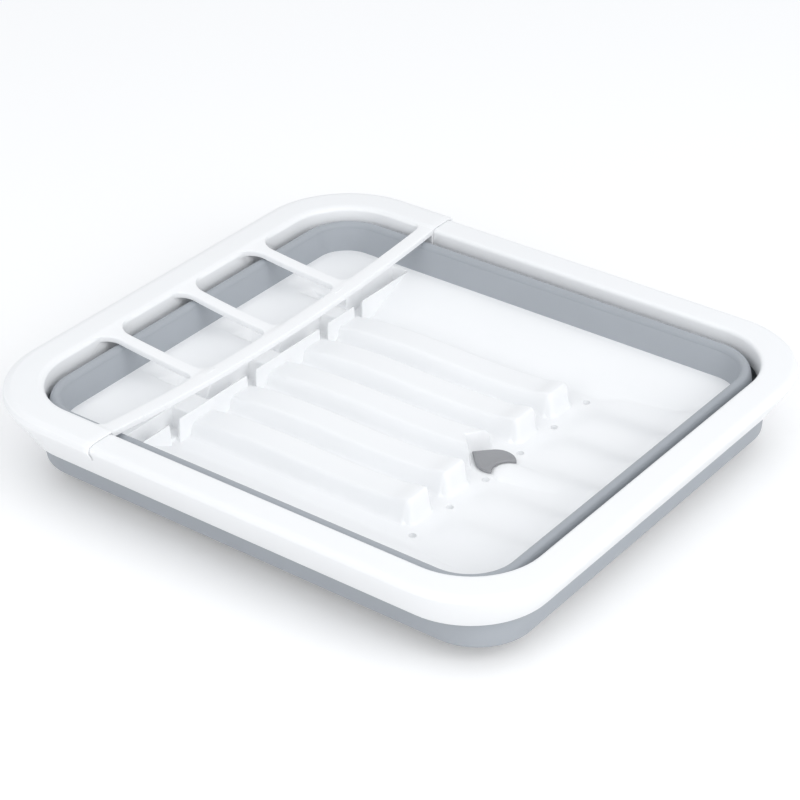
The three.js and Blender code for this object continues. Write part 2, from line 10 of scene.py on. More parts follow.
import bmesh
import bpy
import numpy as np
from bpy.props import FloatProperty, FloatVectorProperty, PointerProperty
from mathutils import Matrix, Vector


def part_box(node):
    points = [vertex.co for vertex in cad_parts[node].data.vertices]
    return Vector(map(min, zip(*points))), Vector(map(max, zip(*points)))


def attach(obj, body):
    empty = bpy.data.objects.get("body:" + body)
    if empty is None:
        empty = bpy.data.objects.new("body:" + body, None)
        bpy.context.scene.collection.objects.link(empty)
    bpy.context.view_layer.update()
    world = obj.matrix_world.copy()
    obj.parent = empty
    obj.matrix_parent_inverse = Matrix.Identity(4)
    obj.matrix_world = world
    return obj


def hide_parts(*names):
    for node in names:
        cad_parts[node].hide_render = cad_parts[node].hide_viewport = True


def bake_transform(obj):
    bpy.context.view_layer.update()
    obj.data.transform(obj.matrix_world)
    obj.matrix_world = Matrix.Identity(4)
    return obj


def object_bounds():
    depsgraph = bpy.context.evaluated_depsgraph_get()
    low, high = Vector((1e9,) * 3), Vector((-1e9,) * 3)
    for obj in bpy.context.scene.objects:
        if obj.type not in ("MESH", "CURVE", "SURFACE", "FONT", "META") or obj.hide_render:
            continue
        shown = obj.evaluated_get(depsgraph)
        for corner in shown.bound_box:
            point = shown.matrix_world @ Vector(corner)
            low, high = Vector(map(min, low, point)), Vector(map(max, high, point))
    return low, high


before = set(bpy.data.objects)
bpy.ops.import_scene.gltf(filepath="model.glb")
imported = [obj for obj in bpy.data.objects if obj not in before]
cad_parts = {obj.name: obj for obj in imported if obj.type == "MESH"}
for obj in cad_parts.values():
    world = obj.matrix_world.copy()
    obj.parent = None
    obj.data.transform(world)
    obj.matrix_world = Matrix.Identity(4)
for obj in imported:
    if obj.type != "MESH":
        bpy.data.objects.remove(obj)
CAD_BOX = [list(corner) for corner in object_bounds()]

bl_info = {
    "name": "Folding dish drainer",
    "version": (1, 0, 0),
    "blender": (4, 5, 0),
    "location": "3D View > Sidebar > Drainer",
    "description": "Builds the rim, cutlery frame, folding wall, tray, plug and feet of a dish drainer",
    "category": "Object",
}

MM = 0.001
CORNER_STEPS = 20
SIDE_STEPS = 14
SHARP_ANGLE = math.radians(40)
# The most of a side that the rounding of one corner may take
CORNER_SHARE = 0.42
# Millimetres left free where the plug and the pads sit in the tray
CLEARANCE = 0.3
# The most of a bar's breadth or thickness that the rounding of one edge may take
EDGE_SHARE = 0.45
# The rim's inner wall, from the line of its opening: its lean at the lower edge, and its back
INNER_LEAN = 0.8
INNER_BACK = 1.8


def linear(code):
    """Linear colour of an sRGB hex code."""
    parts = [int(code[i:i + 2], 16) / 255 for i in (1, 3, 5)]
    return tuple(p / 12.92 if p <= 0.04045 else ((p + 0.055) / 1.055) ** 2.4 for p in parts)


def length(name, millimetres, words):
    """A length property whose default is given in millimetres."""
    return FloatProperty(name=name, description=words, default=millimetres * MM, unit="LENGTH", precision=4)


def angle(name, degrees, words):
    """An angle property whose default is given in degrees."""
    return FloatProperty(name=name, description=words, default=math.radians(degrees), subtype="ANGLE")


def colour(name, code, words):
    """A colour property whose default is an sRGB hex code."""
    return FloatVectorProperty(name=name, description=words, default=linear(code), subtype="COLOR",
                               size=3, min=0, max=1)


def across(node, axis):
    """Size of a CAD node along an axis, in millimetres."""
    low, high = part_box(node)
    return (high[axis] - low[axis]) / MM


class DrainerRim(bpy.types.PropertyGroup):
    """Sizes of the white rim and of the cutlery frame on it."""

    overall_length: length("Length", (CAD_BOX[1][0] - CAD_BOX[0][0]) / MM, "Length over the rim")
    width: length("Width", across("rim_frame", 1), "Width over the rim")
    top: length("Top", 55, "Height of the flange")
    corner: length("Corner", 57, "Outer corner radius of the flange")
    edge_drop: length("Edge drop", 3.2, "How far the rounded edge falls before the skirt starts")
    wall: length("Wall", 2.4, "Wall of the rim")
    flange: length("Flange", 19.5, "Flange width at the ends")
    flange_side: length("Side flange", 18.3, "Flange width at the long sides")
    skirt_bottom: length("Skirt bottom", 30, "Height of the skirt's lower edge")
    skirt_inset: length("Skirt inset", 13, "How far the skirt leans in at the ends")
    skirt_inset_side: length("Side skirt inset", 10.6, "How far the skirt leans in at the sides")
    inner_bottom: length("Inner wall bottom", 40.6, "Height of the inner wall's lower edge")
    inner_corner: length("Inner corner", 42, "Corner radius of the opening")
    cap_wall: length("Cap wall", 1.3, "Wall of the cutlery frame's cap")
    cap_gap: length("Cap gap", 0.3, "Clearance between the cap and the rim")
    cap_length: length("Cap length", 97.5, "Length of the cutlery frame along the drainer")
    cap_bottom: length("Cap bottom", 46, "Height of the cap's outer lip")
    cap_inner_bottom: length("Cap inner bottom", 41.5, "Height of the cap's inner lip")
    bar_width: length("Long bar", 9.4, "Width of the long bar")
    short_bar_width: length("Short bar", 8, "Width of the three short bars")
    short_bar_offset: length("Short bar offset", 64, "Distance of the outer short bars from the middle")
    bar_thickness: length("Bar thickness", 4, "Thickness of the bars")
    bar_dip: length("Bar dip", 7.5, "How far the long bar sags in the middle")
    bar_fillet: length("Bar fillet", 6, "Radius where the long bar and the short bars' inner ends run out")
    cap_fillet: length("Cap fillet", 11, "Radius where the short bars run into the cap")


class DrainerWall(bpy.types.PropertyGroup):
    """Sizes of the grey folding wall."""

    thickness: length("Thickness", 2, "Thickness of the rubber")
    top: length("Top", 51, "Height at which the wall is held inside the rim")
    fold_bottom: length("Fold bottom", 11.7, "Height of the lower fold's underside")
    fold_height: length("Fold height", 2.4, "Height of the lower fold's bead")
    fold_inset: length("Fold inset", 18.9, "Lower fold to the rim's edge at the plate end")
    fold_inset_minus: length("Fold inset, cutlery end", 23.5,
                             "Lower fold to the rim's edge at the cutlery end")
    fold_inset_side: length("Fold inset, sides", 19.8, "Lower fold to the rim's edge at the sides")
    ridge_top: length("Ridge top", 49.6, "Height of the upper fold")
    ridge_inset: length("Ridge inset", 33, "Upper fold to the rim's edge at the ends")
    ridge_inset_side: length("Ridge inset, sides", 29.55, "Upper fold to the rim's edge at the sides")
    ridge_corner: length("Ridge corner", 26, "Corner radius of the upper fold")
    ridge_breadth: length("Ridge breadth", 6.2, "Breadth of the upper fold's bead")
    bottom: length("Bottom", 25, "Height at which the wall is held on the tray")


class DrainerTray(bpy.types.PropertyGroup):
    """Sizes of the white base tray, its drain and its feet."""

    half_length: length("Half length", across("base_tray", 0) / 2, "Middle to the tray's end")
    half_width: length("Half width", across("base_tray", 1) / 2, "Middle to the tray's side")
    corner: length("Corner", 20, "Corner radius of the tray")
    wall: length("Wall", 2.4, "Wall of the tray")
    ledge: length("Ledge", 32, "Height of the ledge round the tray")
    hem_bottom: length("Hem bottom", 23, "Height of the hem's lower edge")
    floor: length("Slot floor", 17, "Height of the slot floors")
    slot_pitch: length("Slot pitch", 33.2, "Distance from slot to slot")
    slot_floor_half: length("Slot half width", 5.5, "Half the width of a slot floor")
    bed_left: length("Bed left", -91, "Where the slots start")
    bed_right: length("Bed right", 62, "Where the slots end")
    finger_start: length("Finger start", 70.5, "Where the rounded ribs start")
    border: length("Border", 4, "Width of the ledge")
    pocket_left: length("Pocket left", -103, "Drip pockets, cutlery side")
    pocket_right: length("Pocket right", -92.5, "Drip pockets, plate side")
    pocket_floor: length("Pocket floor", 19, "Height of the drip pockets' floor")
    notch_half: length("Notch half width", 3.8, "Half the width of the notches from pocket to slot")
    notch_shift: length("Notch shift", -7, "Notches to the middle of their slots")
    bowl_depth: length("Bowl depth", 4.5, "Depth of the bowls under the cutlery")
    gully_floor: length("Gully floor", 21, "Floor of the gullies that run from the bowls to the pockets")
    tooth_corner: length("Tooth corner", 4.2, "Corner radius of the ridge ends in plan")
    drain_x: length("Drain", 64, "Middle of the drain along the tray")
    drain_radius: length("Drain radius", 11.5, "Round end of the drop-shaped drain")
    drain_tip: length("Drain tip", 16, "Middle of the round end to the drop's point")
    drain_recess: length("Drain recess", 3, "Flat border of the drain towards the ridges")
    drain_lip: length("Drain lip", 2.2, "Seat of the plug's flange")
    nose_offset: length("Nose offset", 12, "Drain to the middle rib's round nose")
    nose_side: length("Nose side", 4, "How far the nose lies to the front")
    nose_radius: length("Nose radius", 10, "Edge that the nose bites out of the drain")
    nose_height: length("Nose height", 3.6, "Height of the nose over the floor")
    nose_length: length("Nose length", 42, "Run over which the nose passes into its rib")
    dimple_radius: length("Dimple radius", 2.2, "Small drip dimples in front of the ribs' valleys")
    dimple_depth: length("Dimple depth", 2.6, "Depth of the drip dimples")
    plug_flange: length("Plug flange", 1.8, "Thickness of the plug's flange")
    plug_depth: length("Plug depth", 6, "Depth of the plug's stem")
    leg_radius: length("Leg radius", 10, "Radius of the four legs")
    leg_wall: length("Leg wall", 2.2, "Wall of the legs")
    leg_bottom: length("Leg bottom", 4, "Height of the legs' lower edge")


class DrainerLook(bpy.types.PropertyGroup):
    """Colours, and where the photograph was taken from."""

    white: colour("White plastic", "#F8F9FA", "Polypropylene of the rim, cutlery frame and tray")
    grey: colour("Grey rubber", "#A6ABB1", "Rubber of the folding wall and feet")
    plug: colour("Plug rubber", "#97989B", "Harder rubber of the drain plug")
    backdrop: colour("Floor", "#F6F6F6", "Studio floor")
    tent: colour("Tent", "#F6F8FB", "Light from the studio tent around the drainer")
    azimuth: angle("Azimuth", 37.49, "Camera's turn round the drainer")
    elevation: angle("Elevation", 31.53, "Camera's height above the horizon")
    roll: angle("Roll", -0.70, "Camera's tilt about its line of sight")
    distance: length("Distance", 1387.4, "Camera to the drainer")
    lens: length("Lens", 111.09, "Focal length on a 36 mm sensor")
    aim_height: length("Aim height", 30, "Height of the point over the middle that the camera looks near")
    aim_left: length("Aim left", 1.587, "How far the camera aims to the left of that point")
    aim_up: length("Aim up", 4.075, "How far the camera aims above that point")


def millimetres(group):
    """The lengths of a property group in millimetres, by name."""
    return SimpleNamespace(**{name: getattr(group, name) / MM for name in group.__annotations__})


# Meshes

def make_object(name, points, faces):
    """Mesh object from millimetre points and faces."""
    mesh = bpy.data.meshes.new(name)
    mesh.from_pydata((np.asarray(points, float) * MM).tolist(), [], faces)
    shape = bmesh.new()
    shape.from_mesh(mesh)
    bmesh.ops.recalc_face_normals(shape, faces=shape.faces)
    shape.to_mesh(mesh)
    shape.free()
    made = bpy.data.objects.new(name, mesh)
    bpy.context.scene.collection.objects.link(made)
    return made


def arc(x, y, radius, quarter):
    """A quarter turn of plan points round a middle."""
    turns = (quarter + np.arange(CORNER_STEPS + 1) / CORNER_STEPS) * math.pi / 2
    return np.column_stack([x + radius * np.cos(turns), y + radius * np.sin(turns)])


def between(start, stop, steps):
    """Evenly spaced points between two others, without them."""
    return start + (stop - start) * np.arange(1, steps)[:, None] / steps


def at_height(flat, z):
    """Plan points lifted to a height."""
    return np.column_stack([flat, np.full(len(flat), z)])


def outline(plus, minus, width, radius):
    """Rounded rectangle from -minus to plus, as points from its plate end round to the back."""
    right, left, side = plus - radius, radius - minus, width - radius
    middles = [(right, side), (left, side), (left, -side), (right, -side)]
    arcs = [arc(x, y, radius, quarter) for quarter, (x, y) in enumerate(middles)]
    runs = [between(arcs[i - 1][-1], arcs[i][0], SIDE_STEPS) for i in (1, 2, 3, 0)]
    return np.vstack([part for pair in zip(arcs, runs) for part in pair])


def soften(stations, reach, steps=3):
    """The closed profile with each corner rounded; a station is (plus, minus, width, radius, z)."""
    rows = [np.array(s, float) for s in stations]
    soft = []
    for i, row in enumerate(rows):
        ends = []
        for other in (rows[i - 1], rows[(i + 1) % len(rows)]):
            run = math.hypot(other[2] - row[2], other[4] - row[4])
            ends.append(row + (other - row) * min(CORNER_SHARE, reach / max(run, 1e-6)))
        for k in range(steps + 1):
            t = k / steps
            soft.append((1 - t) ** 2 * ends[0] + 2 * t * (1 - t) * row + t * t * ends[1])
    return soft


def loft_faces(rows, around, close_rows=True, close_around=True):
    """Quads between rows of equal length."""
    faces = []
    for i in range(rows if close_rows else rows - 1):
        for j in range(around if close_around else around - 1):
            a, b = i * around + j, i * around + (j + 1) % around
            c, d = ((i + 1) % rows) * around + (j + 1) % around, ((i + 1) % rows) * around + j
            faces.append((a, d, c, b))
    return faces


def refine(rows, longest):
    """Extra rows, so that no run between two rows is longer than longest."""
    fine = []
    for row, after in zip(rows, rows[1:] + rows[:1]):
        count = max(1, math.ceil(math.hypot(after[2] - row[2], after[4] - row[4]) / longest))
        fine += [row + (after - row) * k / count for k in range(count)]
    return fine


def ring(name, stations, reach, longest=math.inf):
    """Ring through stations that run from its inside over the top to the outside and back below."""
    soft = refine(soften(stations, reach), longest)
    rows = [at_height(outline(plus, minus, width, radius), z) for plus, minus, width, radius, z in soft]
    return make_object(name, np.vstack(rows), loft_faces(len(rows), len(rows[0])))


def tube(name, rows):
    """Closed bar through rows of section points."""
    count, around = len(rows), len(rows[0])
    faces = loft_faces(count, around, close_rows=False)
    faces.append(tuple(range(around)))
    faces.append(tuple(range((count - 1) * around, count * around))[::-1])
    return make_object(name, np.vstack(rows), faces)


def rounded_section(low, high, bottom, top, radius=0.9, steps=4):
    """Section of a bar with rounded edges, as (sideways, up) points."""
    radius = min(radius, (high - low) * EDGE_SHARE, (top - bottom) * EDGE_SHARE)
    points = []
    for u, v, quarter in [(high, top, 0), (low, top, 1), (low, bottom, 2), (high, bottom, 3)]:
        middle_u = u - radius if u == high else u + radius
        middle_v = v - radius if v == top else v + radius
        for i in range(steps + 1):
            turn = (quarter + i / steps) * math.pi / 2
            points.append((middle_u + radius * math.cos(turn), middle_v + radius * math.sin(turn)))
    return points


def prism(name, points, bottom, top):
    """Upright prism over a plan outline that runs to the left."""
    return tube(name, [at_height(points, top), at_height(points, bottom)])


def box(name, low, high):
    """Upright box."""
    (x0, y0, z0), (x1, y1, z1) = low, high
    return prism(name, [(x0, y0), (x1, y0), (x1, y1), (x0, y1)], z0, z1)


def combine(first, second, operation):
    """Joins, cuts or intersects first with second, which is used up."""
    step = first.modifiers.new("combine", "BOOLEAN")
    step.operation = operation
    step.solver = "MANIFOLD"
    step.object = second
    settled = bpy.context.evaluated_depsgraph_get()
    mesh = bpy.data.meshes.new_from_object(first.evaluated_get(settled))
    if len(mesh.polygons) in (0, len(first.data.polygons)):
        raise RuntimeError(f"{operation} of {first.name} with {second.name} did not work")
    old, spent = first.data, second.data
    first.modifiers.clear()
    first.data = mesh
    bpy.data.objects.remove(second)
    bpy.data.meshes.remove(spent)
    bpy.data.meshes.remove(old)
    mesh.name = first.name
    return first


def finish_piece(piece, material, body, slot, *nodes):
    """Smooth shading, material, CAD body and the nodes that the piece stands for."""
    mesh = piece.data
    mesh.materials.clear()
    mesh.materials.append(material)
    mesh.shade_smooth()
    mesh.set_sharp_from_angle(angle=SHARP_ANGLE)
    if body:
        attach(piece, body)
    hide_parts(*nodes)
    return piece


# Materials

def add(tree, kind, inputs=None, **settings):
    """Adds a node with its settings; an input is a value or the socket that feeds it."""
    made = tree.nodes.new(kind)
    for name, value in settings.items():
        setattr(made, name, value)
    for name, value in (inputs or {}).items():
        if isinstance(value, bpy.types.NodeSocket):
            tree.links.new(value, made.inputs[name])
        else:
            made.inputs[name].default_value = value
    return made


def fresh_material(name):
    """Empty node material, with its tree and output."""
    material = bpy.data.materials.new(name)
    material.use_nodes = True
    tree = material.node_tree
    tree.nodes.clear()
    return material, tree, add(tree, "ShaderNodeOutputMaterial")


def shade(value, factor):
    """A linear colour scaled in brightness, with alpha."""
    return (*[min(1.0, part * factor) for part in value], 1.0)


# Where most of a noise texture's values lie
NOISE_LOW, NOISE_HIGH = 0.3, 0.7
# Light that the camera sees the floor give off, which lifts it to white
FLOOR_LIFT = 0.15


def moulded(name, base, index, patch, tones, roughness, grain):
    """Moulded plastic: its tone and gloss vary in soft patches, under a fine even grain.

    A patch is (millimetres, detail), and a grain is (millimetres, detail, strength, height in millimetres).
    """
    known = bpy.data.materials.get(name)
    if known:
        return known
    material, tree, output = fresh_material(name)
    place = add(tree, "ShaderNodeTexCoord").outputs["Object"]
    size, detail = patch
    cloud = add(tree, "ShaderNodeTexNoise", {"Vector": place, "Scale": 1 / (size * MM), "Detail": detail})
    share = cloud.outputs["Fac"]
    dark, light = [shade(base, factor) for factor in tones]
    tone = add(tree, "ShaderNodeMix", {"Factor": share}, data_type="RGBA")
    tone.inputs["A"].default_value = dark
    tone.inputs["B"].default_value = light
    gloss = add(tree, "ShaderNodeMapRange", {
        "Value": share, "From Min": NOISE_LOW, "From Max": NOISE_HIGH,
        "To Min": roughness[0], "To Max": roughness[1]})
    size, detail, strength, height = grain
    pits = add(tree, "ShaderNodeTexNoise", {"Vector": place, "Scale": 1 / (size * MM), "Detail": detail})
    bump = add(tree, "ShaderNodeBump", {"Height": pits.outputs["Fac"], "Strength": strength,
                                        "Distance": height * MM})
    shader = add(tree, "ShaderNodeBsdfPrincipled", {
        "Base Color": tone.outputs["Result"], "Roughness": gloss.outputs["Result"], "IOR": index,
        "Normal": bump.outputs["Normal"]})
    tree.links.new(shader.outputs["BSDF"], output.inputs["Surface"])
    return material


def white_polypropylene():
    """Injection-moulded polypropylene with a satin tool finish.

    Broad soft highlights, a faint cloudiness from the melt, and a very fine even grain.
    """
    base = bpy.context.scene.drainer_look.white
    # Melt clouds of about 45 mm; the tool's grain is 0.3 mm, drawn at 0.9 mm so that it shows
    return moulded("white_polypropylene", base, index=1.49, patch=(45, 3.0), tones=(0.975, 1.0),
                   roughness=(0.36, 0.46), grain=(0.9, 2.0, 0.12, 0.05))


def rubber(name, base):
    """Moulded thermoplastic rubber, matt and slightly soft to look at.

    Low wide highlights, a fine dull grain and a slight bloom that lightens it in patches.
    """
    # Bloom in patches of about 25 mm; the eroded tool's grain is 0.4 mm, drawn at 0.8 mm so that it shows
    return moulded(name, base, index=1.5, patch=(25, 4.0), tones=(0.95, 1.05),
                   roughness=(0.52, 0.64), grain=(0.8, 3.0, 0.25, 0.08))


def grey_rubber():
    """Rubber of the folding wall and the feet."""
    return rubber("grey_thermoplastic_rubber", bpy.context.scene.drainer_look.grey)


def plug_rubber():
    """Rubber of the plug, a shade darker and less blue than the wall."""
    return rubber("dark_grey_plug_rubber", bpy.context.scene.drainer_look.plug)


def studio_floor():
    """Matt studio board: even and pale, lifted to white for the camera, with the shadow left on it."""
    base = bpy.context.scene.drainer_look.backdrop
    material, tree, output = fresh_material("matt_studio_board")
    path = add(tree, "ShaderNodeLightPath")
    seen = add(tree, "ShaderNodeMath", {
        0: path.outputs["Is Camera Ray"], 1: path.outputs["Is Glossy Ray"]}, operation="MAXIMUM")
    lift = add(tree, "ShaderNodeMath", {0: seen.outputs[0], 1: FLOOR_LIFT}, operation="MULTIPLY")
    board = add(tree, "ShaderNodeBsdfDiffuse", {"Color": (*base, 1.0)})
    glow = add(tree, "ShaderNodeEmission", {"Color": (1, 1, 1, 1), "Strength": lift.outputs[0]})
    both = add(tree, "ShaderNodeAddShader", {0: board.outputs[0], 1: glow.outputs[0]})
    tree.links.new(both.outputs[0], output.inputs["Surface"])
    return material


# Shared lines

def rim_lines(rim):
    """Half sizes of the rim that its pieces share, in millimetres."""
    half_length, half_width = rim.overall_length / 2, rim.width / 2
    return SimpleNamespace(
        half_length=half_length,
        half_width=half_width,
        minus=half_length - rim.cap_wall - rim.cap_gap,
        open_length=half_length - rim.flange,
        open_width=half_width - rim.flange_side,
        skirt_top=rim.top - rim.edge_drop,
    )


def opening_station(rim, out, z):
    """Station of the rim's opening, moved out by a distance."""
    line = rim_lines(rim)
    end, side = line.open_length + out, line.open_width + out
    return (end, end, side, rim.inner_corner + out, z)


class DRAINER_OT_rim(bpy.types.Operator):
    """Build the white rim, an inverted U ring with a flat flange and a slanting skirt."""

    bl_idname = "drainer.rim"
    bl_label = "Rim frame"

    def execute(self, context):
        rim = millimetres(context.scene.drainer_rim)
        line = rim_lines(rim)
        inner = partial(opening_station, rim)

        def flange(inset, inset_side, z, radius):
            return (line.half_length - inset, line.minus - inset, line.half_width - inset_side, radius, z)

        inset, inset_side = rim.skirt_inset, rim.skirt_inset_side
        # Up the inner wall, over the flange, down the skirt and back along the inside
        stations = [
            inner(-INNER_LEAN, rim.inner_bottom),
            inner(-INNER_LEAN / 2, rim.top - 1.8),
            inner(0.4, rim.top - 0.4),
            inner(2, rim.top),
            flange(3.6, 3.6, rim.top, rim.corner - 3.6),
            flange(1.2, 1.2, rim.top - 0.8, rim.corner - 1.2),
            flange(0, 0, line.skirt_top, rim.corner),
            flange(inset, inset_side, rim.skirt_bottom, rim.corner - inset_side),
            flange(inset + rim.wall, inset_side + rim.wall, rim.skirt_bottom,
                   rim.corner - inset_side - rim.wall),
            flange(rim.wall + 0.6, rim.wall + 0.6, line.skirt_top - 0.8, rim.corner - rim.wall),
            flange(4.4, 4.4, rim.top - rim.wall, rim.corner - 4.4),
            inner(3.2, rim.top - rim.wall),
            inner(INNER_BACK, rim.top - rim.wall - 1),
            inner(1.4, rim.inner_bottom),
        ]
        piece = ring("rim_shell", stations, reach=0.9)
        finish_piece(piece, white_polypropylene(), "rim", "white_plastic", "rim_frame")
        return {"FINISHED"}


# Distances of the rows that round the cap's cut edges, and steps along its sides
CUT_EDGE_ROWS = (0, 0.12, 0.4)
CAP_SIDE_STEPS = 8


def cap_outline(minus, width, radius, end):
    """The part of a rounded rectangle behind x = end, from its back side round to its front."""
    edge = np.array([(end - inset, width) for inset in CUT_EDGE_ROWS])
    bend = arc(radius - minus, width - radius, radius, 1)
    back = np.vstack([edge, between(edge[-1], bend[0], CAP_SIDE_STEPS), bend])
    front = back[::-1] * (1, -1)
    return np.vstack([back, between(back[-1], front[0], SIDE_STEPS), front])


def cap_shell(rim, line, end):
    """Thin cap over the rim's cutlery end, with its two cut edges rounded."""
    share = (line.skirt_top - rim.cap_bottom) / (line.skirt_top - rim.skirt_bottom)
    near, far = rim.cap_gap, rim.cap_gap + rim.cap_wall
    face = -INNER_LEAN - rim.cap_gap
    inner = partial(opening_station, rim)

    def outer(inset, grow, z, lean=0.0):
        side = line.half_width - inset + grow - lean * rim.skirt_inset_side
        return (line.half_length, line.minus - inset + grow - lean * rim.skirt_inset, side,
                rim.corner - inset + grow - lean * rim.skirt_inset_side, z)

    stations = [
        inner(face - rim.cap_wall, rim.cap_inner_bottom),
        inner(face - rim.cap_wall, rim.top - 0.6),
        inner(0.2 - rim.cap_wall, rim.top + 0.9),
        inner(1.2, rim.top + far),
        outer(3.4, 0, rim.top + far),
        outer(0.8, far, rim.top + 0.2),
        outer(0, far, line.skirt_top),
        outer(0, far, rim.cap_bottom, share),
        outer(0, near, rim.cap_bottom, share),
        outer(0, near, line.skirt_top),
        outer(1.2, near, rim.top - 0.6),
        outer(3.6, 0, rim.top + near),
        inner(2, rim.top + near),
        inner(0.2, rim.top - 0.1),
        inner(face + 0.3, rim.top - 1.6),
        inner(face, rim.cap_inner_bottom),
    ]
    points = np.array([at_height(cap_outline(minus, width, radius, end), z)
                       for _, minus, width, radius, z in soften(stations, reach=0.5)])
    # The last two columns at each cut edge draw in towards the middle of the cap's wall
    opposite = points[::-1]
    for column, share_in in ((0, 0.3), (1, 0.1), (-1, 0.3), (-2, 0.1)):
        points[:, column] += (opposite[:, column] - points[:, column]) * share_in
    rows, around = points.shape[:2]
    faces = loft_faces(rows, around, close_around=False)
    faces.append(tuple(i * around for i in range(rows)))
    faces.append(tuple(i * around + around - 1 for i in range(rows))[::-1])
    return make_object("cutlery_cap", points.reshape(-1, 3), faces)


def flare(distance, radius):
    """How much a bar widens at a distance from the edge that it runs into."""
    rest = radius - min(radius, max(0.0, distance))
    return radius - math.sqrt(max(0.0, radius * radius - rest * rest))


class DRAINER_OT_cutlery_frame(bpy.types.Operator):
    """Build the cutlery frame: the cap over the rim, one long bar and three short bars."""

    bl_idname = "drainer.cutlery_frame"
    bl_label = "Cutlery frame"

    def execute(self, context):
        rim = millimetres(context.scene.drainer_rim)
        line = rim_lines(rim)
        end = rim.cap_length - line.half_length
        piece = cap_shell(rim, line, end)
        reach = line.open_width - 1
        high = rim.top + 0.8

        def long_top(y):
            return high - rim.bar_dip * (1 - min(1.0, abs(y) / line.open_width) ** 2)

        # Rows lie closer together where a bar widens into its neighbour
        rows = []
        for y in np.concatenate([-reach + np.linspace(0, 7, 10), np.linspace(9 - reach, reach - 9, 60),
                                 reach - np.linspace(7, 0, 10)]):
            top = long_top(y)
            left = end - rim.bar_width - flare(reach - abs(y), rim.bar_fillet)
            section = rounded_section(left, end, top - rim.bar_thickness, top)
            rows.append(np.array([(u, y, v) for u, v in section]))
        combine(piece, tube("long_bar", rows), "UNION")
        start, join = 1 - line.open_length, end - rim.bar_width
        stop = end - rim.bar_width / 2 - 1
        for middle in (-rim.short_bar_offset, 0, rim.short_bar_offset):
            fall = high - long_top(middle)
            rows = []
            for x in np.concatenate([start + np.linspace(0, 12, 16), np.linspace(start + 14, join - 8, 20),
                                     join - np.linspace(6.5, 0, 10), [stop]]):
                share = (x - start) / (stop - start)
                top = high - fall * share * (1.5 - 0.5 * share)
                half = rim.short_bar_width / 2 + flare(x - start - 0.4, rim.cap_fillet)
                half += flare(join - x, rim.bar_fillet)
                section = rounded_section(-half, half, top - rim.bar_thickness, top)
                rows.append(np.array([(x, middle + u, v) for u, v in section])[::-1])
            combine(piece, tube("short_bar", rows), "UNION")
        finish_piece(piece, white_polypropylene(), "rim", "white_plastic", "cutlery_frame")
        return {"FINISHED"}


class DRAINER_OT_wall(bpy.types.Operator):
    """Build the grey wall: outer run on the rim, middle run between the folds, inner run on the tray."""

    bl_idname = "drainer.wall"
    bl_label = "Folding wall"

    def execute(self, context):
        rim = millimetres(context.scene.drainer_rim)
        wall = millimetres(context.scene.drainer_wall)
        tray = millimetres(context.scene.drainer_tray)
        line = rim_lines(rim)
        thick, broad, top = wall.thickness, wall.ridge_breadth, wall.ridge_top
        fold_end = line.half_length - wall.fold_inset
        ridge_end = line.half_length - wall.ridge_inset
        fold_corner = wall.ridge_corner + (fold_end - ridge_end) / 2

        def fold(out, z):
            return (fold_end + out, line.half_length - wall.fold_inset_minus + out,
                    line.half_width - wall.fold_inset_side + out, fold_corner + out, z)

        def ridge(out, z):
            return (ridge_end + out, ridge_end + out, line.half_width - wall.ridge_inset_side + out,
                    wall.ridge_corner + out, z)

        low = wall.fold_bottom
        bead = low + wall.fold_height
        # The wall's upper edge stands just behind the rim's inner wall
        seat = INNER_BACK + rim.cap_gap + 0.1
        outer = ring("wall_outer", [
            fold(-thick - 1.6, low + 1.7),
            fold(-thick - 0.4, bead + 0.6),
            opening_station(rim, seat, rim.inner_bottom - 2),
            opening_station(rim, seat, wall.top),
            opening_station(rim, seat + thick, wall.top),
            opening_station(rim, seat + thick, rim.inner_bottom - 3),
            fold(0, bead + 0.4),
            fold(-0.1, low + 1.2),
            fold(-1.1, low + 0.15),
            fold(-2.6, low),
            fold(-3.4, low + 0.5),
        ], reach=0.8)
        finish_piece(outer, grey_rubber(), "rim", "grey_rubber", "wall_outer_band")

        under = low + 0.9
        middle = ring("wall_fold", [
            fold(-2 * thick - 0.5, low + 1.6),
            ridge(broad - thick, top - 4.2),
            ridge(broad - thick - 0.6, top - 2.6),
            ridge(thick + 0.6, top - 2.6),
            ridge(thick, top - 4.2),
            ridge(0, top - 4.2),
            ridge(0.1, top - 2.4),
            ridge(0.9, top - 0.8),
            ridge(broad / 2, top),
            ridge(broad - 1, top - 0.8),
            ridge(broad, top - 2.8),
            fold(-thick - 0.5, bead),
            fold(-1.4, bead - 1.0),
            fold(-1.4, under),
            fold(-3.6, under),
        ], reach=0.8, longest=2.0)
        finish_piece(middle, grey_rubber(), None, "grey_rubber", "wall_fold_band")
        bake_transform(middle)

        # The wall's lower edge reaches into the tray's side, so that no slit shows between them
        seam = -0.3

        def held(out, z):
            end, side = tray.half_length + seam + out, tray.half_width + seam + out
            return (end, end, side, tray.corner + seam + out, z)

        inner = ring("wall_inner", [
            held(0, wall.bottom),
            held(0, tray.ledge - 0.4),
            ridge(0.05, top - 3.4),
            ridge(thick - 0.1, top - 3.4),
            held(thick, tray.ledge),
            held(thick, wall.bottom),
        ], reach=0.5)
        finish_piece(inner, grey_rubber(), "base", "grey_rubber", "wall_inner_band")
        return {"FINISHED"}


# Tray surface

def ramp(value, start, end):
    """0 before start, 1 after end and straight between."""
    return np.clip((value - start) / (end - start), 0, 1)


def rolled(value, start, end):
    """0 before start, 1 after end, with a rounded foot and a rounded shoulder."""
    t = ramp(value, start, end)
    foot = 0.5 - 0.5 * np.sqrt(np.clip(1 - (2 * t) ** 2, 0, 1))
    shoulder = 0.5 + 0.5 * np.sqrt(np.clip(1 - (2 - 2 * t) ** 2, 0, 1))
    return np.where(t < 0.5, foot, shoulder)


